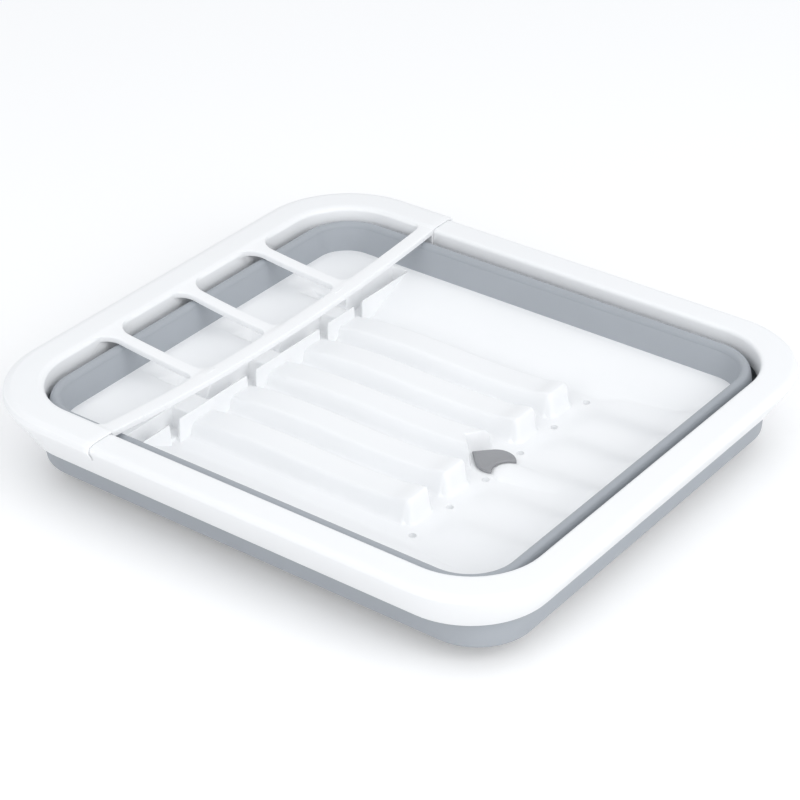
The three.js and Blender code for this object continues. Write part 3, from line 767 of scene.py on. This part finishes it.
def swell(turn):
    """0 at no turn and 1 at half a turn, as a cosine."""
    return 0.5 - 0.5 * np.cos(turn)


# Places along a rolled step, closer where it bends most
STEP_TURNS = np.radians([0, 5, 10, 16, 24, 36, 54, 90])
HALF_STEP = 0.5 * np.sin(STEP_TURNS)
STEP_PLACES = np.concatenate([HALF_STEP, 1 - HALF_STEP[-2::-1]])


def step_lines(start, end):
    """Grid lines over a rolled step."""
    return (start + (end - start) * STEP_PLACES).tolist()


def through(points, value):
    """Smooth curve through (position, height) points."""
    places = np.array([p for p, _ in points], float)
    heights = np.array([h for _, h in points], float)
    slopes = np.gradient(heights, places)
    slopes[0] = slopes[-1] = 0
    value = np.clip(value, places[0], places[-1])
    i = np.clip(np.searchsorted(places, value) - 1, 0, len(places) - 2)
    run = places[i + 1] - places[i]
    t = (value - places[i]) / run
    return ((1 + 2 * t) * (1 - t) ** 2 * heights[i] + t * (1 - t) ** 2 * run * slopes[i]
            + t * t * (3 - 2 * t) * heights[i + 1] + t * t * (t - 1) * run * slopes[i + 1])


# Slots, counted in pitches from the middle of the tray
SLOTS = (-2.5, -1.5, -0.5, 0.5, 1.5, 2.5)


class TraySurface:
    """Heights of the tray; wall widens every hollow, for the underside. All lengths are millimetres."""

    # Half the breadth of the rounded edges of pockets and notches, of the ribs' end and of the drain
    roll = 0.8
    ledge_roll = 1
    drain_roll = 0.9
    # A slot's wall: how far its foot reaches into the slot, and its breadth
    slot_foot = 2.0
    slot_wall_run = 6.0
    # Where a ridge's end starts and stops falling, from the end of the slots
    ridge_end = (-2.4, 3.4)
    # Half the rib under a short bar, and how far a pocket passes the middle of its last slot
    bar_rib = 4
    pocket_past = 4
    # How much deeper a bowl is towards the front
    bowl_tilt = 0.45
    # Where a gully's far side rises, from its near side, and its blunt end and mouth, from the pocket's edge
    gully_side = (7, 19)
    gully_end = (-29, -19)
    gully_mouth = (1, 3)
    # Where the valleys start to rise, and where the ribs grow out of the floor
    valley_start = 4.5
    rib_start = (-1, 15)
    # Dip round a drip dimple, and half the breadth of its edge
    dimple_dip = 0.8
    dimple_roll = 1.4
    # Gap between the nose and the drain's edge, and the power that rounds the nose
    nose_gap = 0.6
    nose_power = 0.7
    # Where the drain's border narrows, from the middle of the drain
    border_change = (-2, 4)

    def __init__(self, tray, bar_offset):
        self.tray = tray
        self.bar_offset = bar_offset
        pitch = tray.slot_pitch
        self.last_slot = SLOTS[-1] * pitch
        self.finger_end = tray.half_length - tray.border
        self.dimple_x = tray.finger_start - 1.5
        self.side_start = self.last_slot + tray.slot_floor_half
        self.side_end = tray.half_width - 2
        left, right = tray.bed_left, tray.bed_right
        self.ridge_line = [(left, 24.6), (left + 10, 26), (left + 22, 27.4), (left + 38, 28.2),
                           (right - 30, 28), (right - 14, 29.2), (right - 5, 31.2), (right + 2, 31.4)]
        start = tray.finger_start
        self.finger_line = [(start, 18.2), (start + 20, 19.6), (start + 50, 21.6), (self.finger_end, 27)]
        middle = self.side_start + 0.37 * (self.side_end - self.side_start)
        self.side_line = [(self.side_start, tray.floor), (middle, 23), (self.side_end, tray.ledge)]
        self.notches = [n * pitch + tray.notch_shift for n in (2.5, 1.5, -0.5, -2.5)]
        self.notch_start = (tray.pocket_right - 3, tray.pocket_right - 1)
        self.inside = tray.half_width - tray.border
        rib, past = self.bar_rib, self.pocket_past
        self.pockets = [(bar_offset + 3, self.inside), (rib, 1.5 * pitch + past),
                        (rib - bar_offset, past - 0.5 * pitch), (-self.inside, past - 2.5 * pitch)]

    def slot_distance(self, y):
        """Distance to the middle of the nearest slot."""
        side = np.abs(y)
        pitch = self.tray.slot_pitch
        number = np.clip(np.round(side / pitch - 0.5), 0, 2)
        return np.abs(side - (number + 0.5) * pitch)

    def slot_wall(self, wall):
        """Where a slot's wall starts and ends, from the middle of the slot."""
        start = self.tray.slot_floor_half + wall - self.slot_foot
        return start, start + self.slot_wall_run

    def side_height(self, y, wall):
        """The slope from the outer slots up to the tray's sides."""
        return through(self.side_line, np.abs(y) - wall)

    def cutlery(self, x, y, wall=0.0):
        """The cutlery end: bowls, gullies, drip pockets and notches."""
        tray, roll = self.tray, self.roll
        inside, bar, rib = self.inside, self.bar_offset, self.bar_rib
        edges = [(-inside, -bar - rib), (rib - bar, -rib), (rib, bar - rib), (bar + rib, inside)]
        u = 2 * ramp(x, tray.border - tray.half_length, tray.pocket_left) - 1
        height = np.full(np.broadcast(x, y).shape, tray.ledge)
        for low, high in edges:
            v = 2 * ramp(y, low, high) - 1
            height = height - tray.bowl_depth * (1 - u * u) * (1 - v * v) * (1 - self.bowl_tilt * v)

        gully = np.zeros(1)
        for low, _ in self.pockets[:3]:
            near = rolled(y, low - wall - roll, low - wall + roll)
            far = [low + wall + reach for reach in self.gully_side]
            gully = gully + near * (1 - rolled(y, *far))
        left = tray.pocket_left
        gully = gully * rolled(x, *[left - wall + reach for reach in self.gully_end])
        gully = gully * (1 - rolled(x, *[left + reach for reach in self.gully_mouth]))
        height = height + np.minimum(0, tray.gully_floor - height) * gully

        pocket = np.zeros(1)
        for low, high in self.pockets:
            inside_y = rolled(y, low - wall - roll, low - wall + roll)
            pocket = pocket + inside_y * (1 - rolled(y, high + wall - roll, high + wall + roll))
        left, right = tray.pocket_left - wall, tray.pocket_right + wall
        pocket = pocket * rolled(x, left - roll, left + roll) * (1 - rolled(x, right - roll, right + roll))
        height = height + (tray.pocket_floor - height) * pocket

        notch = np.zeros(1)
        half = tray.notch_half + wall
        for middle in self.notches:
            notch = notch + 1 - rolled(np.abs(y - middle), half - roll, half + roll)
        notch = np.clip(notch, 0, 1) * rolled(x, *self.notch_start)
        return height + (np.minimum(height, tray.floor) - height) * notch

    def bed(self, x, y, wall=0.0):
        """The plate bed: ridges between the slots, with ends rounded in plan."""
        tray, corner = self.tray, self.tray.tooth_corner
        start, end = self.slot_wall(wall)
        away = self.slot_distance(y)
        past = np.clip(start + self.slot_wall_run / 2 + corner - away, 0, corner)
        last = tray.bed_right - wall - corner + np.sqrt(corner ** 2 - past * past)
        rise = rolled(away, start, end) * (1 - rolled(x, *[last + reach for reach in self.ridge_end]))
        ridge = tray.floor + (through(self.ridge_line, x) - tray.floor) * rise
        height = np.where(np.abs(y) > self.last_slot, self.side_height(y, wall), ridge)
        return self.drain(x, y, height, wall)

    def fingers(self, x, y, wall=0.0):
        """The plate end: rounded ribs that rise to the ledge, with a drip dimple before each valley."""
        tray = self.tray
        # The valleys rise by one millimetre
        valley = tray.floor + ramp(x, tray.finger_start + self.valley_start, self.finger_end)
        away = np.maximum(0, self.slot_distance(y) - wall)
        wave = swell(2 * math.pi * away / tray.slot_pitch)
        wave = np.where(np.abs(y) > 3 * tray.slot_pitch, 1, wave)
        start = tray.finger_start + wall
        wave = wave * swell(math.pi * ramp(x, *[start + reach for reach in self.rib_start]))
        height = valley + (through(self.finger_line, x) - valley) * wave
        side = self.side_height(y, wall)
        height = np.where(np.abs(y) > self.last_slot, np.maximum(height, side), height)
        mouth = np.hypot(x - self.dimple_x, self.slot_distance(y)) - tray.dimple_radius
        dip = 1 - rolled(mouth, -self.dimple_roll, self.dimple_roll)
        height = height - self.dimple_dip * dip * (wall == 0)
        height = np.maximum(self.drain(x, y, height, wall), self.nose(x, y, wall))
        edge = self.finger_end + wall
        return height + (tray.ledge - height) * rolled(x, edge - self.ledge_roll, edge + self.ledge_roll)

    def nose_distance(self, x, y):
        """Distance to the middle of the nose."""
        tray = self.tray
        return np.hypot(x - tray.drain_x - tray.nose_offset, y + tray.nose_side)

    def nose(self, x, y, wall):
        """Round end of the middle rib, beside the drain."""
        tray = self.tray
        off = x - tray.drain_x - tray.nose_offset
        along = ramp(off, 0, tray.nose_length)
        away = np.hypot(off - tray.nose_length * along, y + tray.nose_side * (1 - along))
        share = np.clip(away / (tray.nose_radius - self.nose_gap - wall), 0, 1)
        return tray.floor + tray.nose_height * (1 - share * share) ** self.nose_power

    def drain(self, x, y, height, wall):
        """Flattens the surface round the drop-shaped drain."""
        tray, roll = self.tray, self.drain_roll
        slope = tray.drain_radius / tray.drain_tip
        rise = math.sqrt(1 - slope * slope)
        off, side = x - tray.drain_x, np.abs(y)
        flank = -off * slope + side * rise - tray.drain_radius
        around = np.hypot(off, side) - tray.drain_radius
        away = np.where(-off * rise - side * slope > 0, flank, around)
        away = np.maximum(away, tray.nose_radius - self.nose_distance(x, y))
        narrow = ramp(x, *[tray.drain_x + reach for reach in self.border_change])
        border = roll + (tray.drain_recess - roll) * (1 - narrow) + wall
        keep = rolled(away, border - roll, border + roll)
        return tray.floor + (height - tray.floor) * keep


def sorted_lines(lines, low, high, gap):
    """Grid lines in order, inside the range and no closer than gap."""
    kept = [low]
    for value in sorted(v for v in lines if low < v < high):
        if value - kept[-1] > gap:
            kept.append(value)
    if high - kept[-1] < gap and len(kept) > 1:
        kept.pop()
    return np.array(kept + [high])


def height_block(name, height, wall, lines_x, lines_y, bottom):
    """Block under a height surface."""
    x, y = lines_x[:, None], lines_y[None, :]
    top = np.broadcast_to(height(x, y, wall) - wall, (len(lines_x), len(lines_y)))
    plan_x, plan_y = np.broadcast_arrays(x, y)
    upper = np.stack([plan_x, plan_y, top], axis=-1).reshape(-1, 3)
    count_x, count_y = len(lines_x), len(lines_y)
    rim_index = [i * count_y for i in range(count_x)]
    rim_index += [(count_x - 1) * count_y + j for j in range(1, count_y)]
    rim_index += [i * count_y + count_y - 1 for i in range(count_x - 2, -1, -1)]
    rim_index += list(range(count_y - 2, 0, -1))
    lower = upper[rim_index].copy()
    lower[:, 2] = bottom
    first = len(upper)
    around = len(rim_index)
    faces = []
    for i in range(count_x - 1):
        for j in range(count_y - 1):
            a = i * count_y + j
            faces.append((a, a + count_y, a + count_y + 1, a + 1))
    for k in range(around):
        m = (k + 1) % around
        faces.append((rim_index[m], rim_index[k], first + k, first + m))
    faces.append(tuple(range(first + around - 1, first - 1, -1)))
    return make_object(name, np.vstack([upper, lower]), faces)


def slot_lines(tray, start, end):
    """Grid lines over a rolled step on both sides of all six slots."""
    lines = []
    for number in SLOTS:
        for distance in step_lines(start, end):
            lines += [number * tray.slot_pitch + distance, number * tray.slot_pitch - distance]
    return lines


# Grid lines to a slot pitch, and the stretches along and across the tray that the drain takes up
PITCH_LINES = 12
DRAIN_ALONG = (44, 82)
DRAIN_ACROSS = (-18, 18.1)
# The last stretch of the ridges, which has closer grid lines
RIDGE_END_RUN = 20

# Grid steps in millimetres, number of lines up each side, and how far the bed passes the end of the slots
FINE = SimpleNamespace(gap=0.12, across=3.0, sides=30, cutlery=2.2, drain=0.7, bed=4.0, ridge_ends=0.6,
                       fingers=2.6, past_bed=3.8, dimples=True)
COARSE = SimpleNamespace(gap=0.4, across=6.0, sides=12, cutlery=5.0, drain=2.5, bed=9.0, ridge_ends=3.0,
                         fingers=8.0, past_bed=3.6, dimples=False)


def pitch_lines(tray, pitches):
    """Evenly spaced grid lines over a number of slot pitches on each side of the middle."""
    count = round(pitches * PITCH_LINES)
    return (np.arange(-count, count + 1) * tray.slot_pitch / PITCH_LINES).tolist()


def tray_blocks(name, surface, wall, bottom, grid):
    """The tray surface as one block: cutlery end, plate bed and finger end side by side."""
    tray, roll = surface.tray, surface.roll
    end, side = tray.half_length + 1, tray.half_width + 1
    left, right = tray.bed_left - wall, tray.bed_right + grid.past_bed - wall

    def part(title, height, low, high, lines_x, lines_y):
        return height_block(title, height, wall, sorted_lines(lines_x, low, high, grid.gap),
                            sorted_lines(lines_y, -side, side, grid.gap), bottom)

    lines_y = np.arange(-side, side, grid.across).tolist()
    for low, high in surface.pockets:
        for edge in (low - wall, high + wall):
            lines_y += step_lines(edge - roll, edge + roll)
    edge = tray.notch_half + wall
    for middle in surface.notches:
        for s in (-1, 1):
            lines_y += step_lines(middle + s * (edge - roll), middle + s * (edge + roll))
    lines_x = np.arange(-end, left, grid.cutlery).tolist()
    for edge in (tray.pocket_left - wall, tray.pocket_right + wall):
        lines_x += step_lines(edge - roll, edge + roll)
    lines_x += step_lines(*surface.notch_start)
    block = part(name, surface.cutlery, -end, left, lines_x, lines_y)

    sides = [s * v for s in (-1, 1) for v in np.linspace(surface.last_slot, side, grid.sides)]
    sides += np.arange(*DRAIN_ACROSS, grid.drain).tolist()
    drain_x = np.arange(*DRAIN_ALONG, grid.drain).tolist()
    lines_y = sides + slot_lines(tray, *surface.slot_wall(wall)) + pitch_lines(tray, SLOTS[-1])
    lines_x = np.arange(left, right, grid.bed).tolist() + drain_x
    lines_x += np.arange(tray.bed_right - RIDGE_END_RUN, right, grid.ridge_ends).tolist()
    bed = part("bed", surface.bed, left, right, lines_x, lines_y)

    lines_y = sides + pitch_lines(tray, 3)
    if grid.dimples:
        radius, rounding = tray.dimple_radius, surface.dimple_roll
        lines_y += slot_lines(tray, radius - rounding, radius + rounding)
    lines_x = np.arange(right, end, grid.fingers).tolist() + drain_x
    edge = surface.finger_end + wall
    lines_x += step_lines(edge - surface.ledge_roll, edge + surface.ledge_roll)
    fingers = part("fingers", surface.fingers, right, end, lines_x, lines_y)
    combine(block, bed, "UNION")
    return combine(block, fingers, "UNION")


# How far the drop's point moves when its outline grows by one
TIP_GROWTH = 1.39


def drop(tray, grow, steps=40):
    """Outline of the drop-shaped drain, pointing to the cutlery end."""
    radius = tray.drain_radius + grow
    tip = tray.drain_tip + grow * TIP_GROWTH
    touch = math.acos(radius / tip)
    points = [(tray.drain_x - tip, 0.0)]
    for i in range(steps + 1):
        turn = math.pi + touch + 2 * (math.pi - touch) * i / steps
        points.append((tray.drain_x + radius * math.cos(turn), radius * math.sin(turn)))
    return points


def spread(points, count):
    """Evenly spaced points along a line of points."""
    points = np.asarray(points)
    along = np.concatenate([[0], np.cumsum(np.hypot(*np.diff(points, axis=0).T))])
    at = np.linspace(0, along[-1], count)
    return np.column_stack([np.interp(at, along, points[:, 0]), np.interp(at, along, points[:, 1])])


def drain_outline(tray, grow):
    """The drop's outline, less the round bite of the middle rib's nose."""
    flat = np.array(drop(tray, grow, 160))
    flat = np.vstack([flat, flat[:1]])
    nose = np.array([tray.drain_x + tray.nose_offset, -tray.nose_side])
    radius = tray.nose_radius - grow
    reach = np.hypot(*(flat - nose).T)
    covered = np.flatnonzero(reach < radius)
    first, last = covered[0], covered[-1]

    def crossing(outside, inside):
        share = (reach[outside] - radius) / (reach[outside] - reach[inside])
        return flat[outside] + (flat[inside] - flat[outside]) * share

    enter, leave = crossing(first - 1, first), crossing(last + 1, last)
    turns = [math.atan2(*(p - nose)[::-1]) % (2 * math.pi) for p in (enter, leave)]
    bite = [nose + radius * np.array([math.cos(t), math.sin(t)]) for t in np.linspace(*turns, 20)]
    near = spread(np.vstack([flat[:first], enter]), 18)
    far = spread(np.vstack([leave, flat[last + 1:]]), 30)
    return np.vstack([near, bite[1:-1], far[:-1]])


def circle(x, y, radius, steps=48):
    """Plan outline of a post."""
    turns = [2 * math.pi * (i + 0.5) / steps for i in range(steps)]
    return [(x + radius * math.cos(t), y + radius * math.sin(t)) for t in turns]


PADS = ("foot_pad_back_right", "foot_pad_back_left", "foot_pad_front_left", "foot_pad_front_right")


def pad_place(node):
    """Middle of a foot pad in plan, in millimetres."""
    low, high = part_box(node)
    return (low[0] + high[0]) / 2 / MM, (low[1] + high[1]) / 2 / MM


class DRAINER_OT_tray(bpy.types.Operator):
    """Build the base tray with its slots, ribs, drip pockets, bowls, drain and legs."""

    bl_idname = "drainer.tray"
    bl_label = "Base tray"

    def execute(self, context):
        tray = millimetres(context.scene.drainer_tray)
        rim = millimetres(context.scene.drainer_rim)
        surface = TraySurface(tray, rim.short_bar_offset)
        # Heights at which the block, its hollow and the cutters end, all clear of the tray
        block_bottom, hollow_bottom, cut_bottom, cut_top = -8, -12, -20, tray.ledge + 14
        # Underside of the drain's border and of the cross rib, and the walls of the cups under the dimples
        below = tray.floor - tray.wall - 0.2
        cup_wall, cup_floor = 1.6, 1.4

        def border(grow):
            return outline(tray.half_length + grow, tray.half_length + grow, tray.half_width + grow,
                           tray.corner + grow)

        piece = tray_blocks("tray", surface, 0.0, block_bottom, FINE)
        combine(piece, prism("footprint", border(0), cut_bottom, cut_top), "INTERSECT")

        # The hollow underneath, less the hem, rib, legs and cups that stand in it
        hollow = tray_blocks("hollow", surface, tray.wall, hollow_bottom, COARSE)
        drain = drop(tray, tray.drain_recess + tray.wall)
        combine(hollow, prism("drain_border", drain, below, cut_top), "DIFFERENCE")
        hem = prism("hem", border(2), tray.hem_bottom, tray.ledge - 1)
        combine(hem, prism("hem_inside", border(-tray.wall), tray.hem_bottom - 1, tray.ledge), "DIFFERENCE")
        combine(hollow, hem, "DIFFERENCE")
        rib_low = (tray.bed_left - tray.wall, -tray.half_width - 2, below)
        rib_high = (tray.pocket_right + tray.wall, tray.half_width + 2, cut_top)
        combine(hollow, box("cross_rib", rib_low, rib_high), "DIFFERENCE")
        for node in PADS:
            x, y = pad_place(node)
            leg = prism("leg", circle(x, y, tray.leg_radius), tray.leg_bottom, tray.ledge)
            bore = circle(x, y, tray.leg_radius - tray.leg_wall)
            combine(leg, prism("leg_bore", bore, tray.leg_bottom - 1, tray.ledge + 1), "DIFFERENCE")
            combine(hollow, leg, "DIFFERENCE")
        pit = tray.floor - tray.dimple_depth
        dimples = [(surface.dimple_x, number * tray.slot_pitch) for number in SLOTS]
        for x, y in dimples:
            cup = circle(x, y, tray.dimple_radius + cup_wall)
            combine(hollow, prism("cup", cup, pit - cup_floor, tray.floor), "DIFFERENCE")
        combine(piece, hollow, "DIFFERENCE")
        for x, y in dimples:
            dimple = circle(x, y, tray.dimple_radius)
            combine(piece, prism("dimple", dimple, pit, tray.ledge), "DIFFERENCE")
        hole = drain_outline(tray, -tray.drain_lip)
        combine(piece, prism("drain_hole", hole, cut_bottom, tray.ledge), "DIFFERENCE")
        finish_piece(piece, white_polypropylene(), "base", "white_plastic", "base_tray")
        return {"FINISHED"}


class DRAINER_OT_plug(bpy.types.Operator):
    """Build the drop-shaped drain plug with its rounded flange and tapered stem."""

    bl_idname = "drainer.plug"
    bl_label = "Drain plug"

    def execute(self, context):
        tray = millimetres(context.scene.drainer_tray)
        seat = tray.floor + CLEARANCE
        top, tip = seat + tray.plug_flange, seat - tray.plug_depth
        stem = -tray.drain_lip - CLEARANCE
        # Growth of the drain's outline and height, up the stem, round the flange and over the dished top
        profile = [(stem - 1.6, tip), (stem - 0.5, tip), (stem - 0.1, tip + 0.5), (stem, tip + 1.4),
                   (stem, seat - 0.2), (stem, seat), (-0.5, seat), (-0.1, seat + 0.2), (0, seat + 0.5),
                   (0, top - 0.7), (-0.12, top - 0.35), (-0.4, top - 0.1), (-0.8, top), (-2.0, top),
                   (-2.4, top - 0.12), (-2.8, top - 0.3), (-3.4, top - 0.36)]
        rows = [at_height(drain_outline(tray, grow), z) for grow, z in profile]
        piece = tube("plug", rows[::-1])
        finish_piece(piece, plug_rubber(), "plug", "grey_rubber", "drain_plug")
        return {"FINISHED"}


class DRAINER_OT_pads(bpy.types.Operator):
    """Build the four rubber foot pads, pressed into the tray's legs."""

    bl_idname = "drainer.pads"
    bl_label = "Foot pads"

    def execute(self, context):
        tray = millimetres(context.scene.drainer_tray)
        radius, stud = tray.leg_radius, tray.leg_radius - tray.leg_wall - CLEARANCE
        shoulder = tray.leg_bottom - CLEARANCE
        # Radius and height, from the hollow under the pad round its edge and up the stud
        profile = [(radius - 4.5, 0.5), (radius - 4.2, 0.1), (radius - 3.8, 0.0), (radius - 1.2, 0.0),
                   (radius - 0.5, 0.15), (radius - 0.1, 0.6), (radius, 1.2), (radius, shoulder - 0.6),
                   (radius - 0.2, shoulder - 0.15), (radius - 0.6, shoulder), (stud, shoulder),
                   (stud, tray.leg_bottom + 4.6), (stud - 0.4, tray.leg_bottom + 5.6),
                   (stud - 1.0, tray.leg_bottom + 6)]
        for node in PADS:
            x, y = pad_place(node)
            rows = [at_height(circle(x, y, away), z) for away, z in profile]
            piece = tube(node.replace("foot_pad", "pad"), rows[::-1])
            finish_piece(piece, grey_rubber(), "base", "grey_rubber", node)
        return {"FINISHED"}


# Half the side of the floor in millimetres
FLOOR_HALF = 6000
# Strength of the tent's light at the horizon, and what is added overhead
TENT_LEVEL, TENT_RISE = 0.655, 0.26
# Name, place in metres, size in metres and power in watts of each soft lamp
LAMPS = (
    ("softbox_right", (1.30, -0.25, 0.85), 1.2, 8.4),
    ("softbox_front", (0.10, -1.40, 0.85), 1.2, 4.0),
)


class DRAINER_OT_stage(bpy.types.Operator):
    """Set the floor, the soft studio light, the world and the camera."""

    bl_idname = "drainer.stage"
    bl_label = "Stage"

    def execute(self, context):
        scene = context.scene
        look = scene.drainer_look
        scene.view_settings.view_transform = "Standard"

        corners = [(x * FLOOR_HALF, y * FLOOR_HALF, 0) for x, y in ((-1, -1), (1, -1), (1, 1), (-1, 1))]
        floor = make_object("studio_floor", corners, [(0, 1, 2, 3)])
        floor.data.materials.append(studio_floor())

        world = bpy.data.worlds.new("white_studio")
        scene.world = world
        world.use_nodes = True
        tree = world.node_tree
        tree.nodes.clear()
        path = add(tree, "ShaderNodeLightPath")
        seen = add(tree, "ShaderNodeMath", {
            0: path.outputs["Is Camera Ray"], 1: path.outputs["Is Glossy Ray"]}, operation="MAXIMUM")
        seen = add(tree, "ShaderNodeMath", {
            0: seen.outputs[0], 1: path.outputs["Is Transmission Ray"]}, operation="MAXIMUM")
        # Brighter overhead than at the horizon, like a tent with a large lamp above it
        way = add(tree, "ShaderNodeSeparateXYZ", {0: add(tree, "ShaderNodeTexCoord").outputs["Generated"]})
        level = add(tree, "ShaderNodeMath", {
            0: way.outputs["Z"], 1: TENT_RISE, 2: TENT_LEVEL}, operation="MULTIPLY_ADD")
        fill = add(tree, "ShaderNodeBackground", {"Color": (*look.tent, 1.0), "Strength": level.outputs[0]})
        white = add(tree, "ShaderNodeBackground", {"Color": (1, 1, 1, 1), "Strength": 1.0})
        mix = add(tree, "ShaderNodeMixShader", {
            0: seen.outputs[0], 1: fill.outputs[0], 2: white.outputs[0]})
        output = add(tree, "ShaderNodeOutputWorld")
        tree.links.new(mix.outputs[0], output.inputs["Surface"])

        for name, place, size, power in LAMPS:
            data = bpy.data.lights.new(name, "AREA")
            data.shape = "DISK"
            data.size = size
            data.energy = power
            lamp = bpy.data.objects.new(name, data)
            lamp.location = place
            lamp.rotation_mode = "QUATERNION"
            lamp.rotation_quaternion = (-Vector(place)).to_track_quat("-Z", "Y")
            scene.collection.objects.link(lamp)

        a, e, roll = look.azimuth, look.elevation, look.roll
        back = Vector((math.sin(a) * math.cos(e), -math.cos(a) * math.cos(e), math.sin(e)))
        right = Vector((math.cos(a), math.sin(a), 0))
        up = back.cross(right)
        c, s = math.cos(roll), math.sin(roll)
        right, up = c * right + s * up, c * up - s * right
        data = bpy.data.cameras.new("photo_camera")
        data.sensor_width = 36
        data.lens = look.lens / MM
        data.clip_start, data.clip_end = 0.01, 50
        camera = bpy.data.objects.new("photo_camera", data)
        aim = Vector((0, 0, look.aim_height)) - right * look.aim_left + up * look.aim_up
        place = aim + back * look.distance
        camera.matrix_world = Matrix.Translation(place) @ Matrix((right, up, back)).transposed().to_4x4()
        scene.collection.objects.link(camera)
        scene.camera = camera
        return {"FINISHED"}


STEPS = (DRAINER_OT_stage, DRAINER_OT_rim, DRAINER_OT_cutlery_frame, DRAINER_OT_wall, DRAINER_OT_tray,
         DRAINER_OT_plug, DRAINER_OT_pads)


class DRAINER_PT_panel(bpy.types.Panel):
    """Sidebar panel that lists the steps and the sizes."""

    bl_label = "Folding dish drainer"
    bl_idname = "DRAINER_PT_panel"
    bl_space_type = "VIEW_3D"
    bl_region_type = "UI"
    bl_category = "Drainer"

    def draw(self, context):
        layout = self.layout
        for step in STEPS:
            layout.operator(step.bl_idname, text=step.bl_label)
        for name in GROUPS:
            group = getattr(context.scene, name)
            column = layout.column(align=True)
            column.label(text=name.replace("_", " ").capitalize())
            for prop in group.__annotations__:
                column.prop(group, prop)


GROUPS = {
    "drainer_rim": DrainerRim,
    "drainer_wall": DrainerWall,
    "drainer_tray": DrainerTray,
    "drainer_look": DrainerLook,
}


def register():
    """Register the property groups, the operators and the panel."""
    for name, group in GROUPS.items():
        bpy.utils.register_class(group)
        setattr(bpy.types.Scene, name, PointerProperty(type=group))
    for made in (*STEPS, DRAINER_PT_panel):
        bpy.utils.register_class(made)


def unregister():
    """Take everything out again."""
    for made in (DRAINER_PT_panel, *reversed(STEPS)):
        bpy.utils.unregister_class(made)
    for name, group in reversed(GROUPS.items()):
        delattr(bpy.types.Scene, name)
        bpy.utils.unregister_class(group)


def main():
    """Build the drainer on its frame."""
    register()
    for step in STEPS:
        group, name = step.bl_idname.split(".")
        getattr(getattr(bpy.ops, group), name)()


if __name__ == "__main__":
    main()
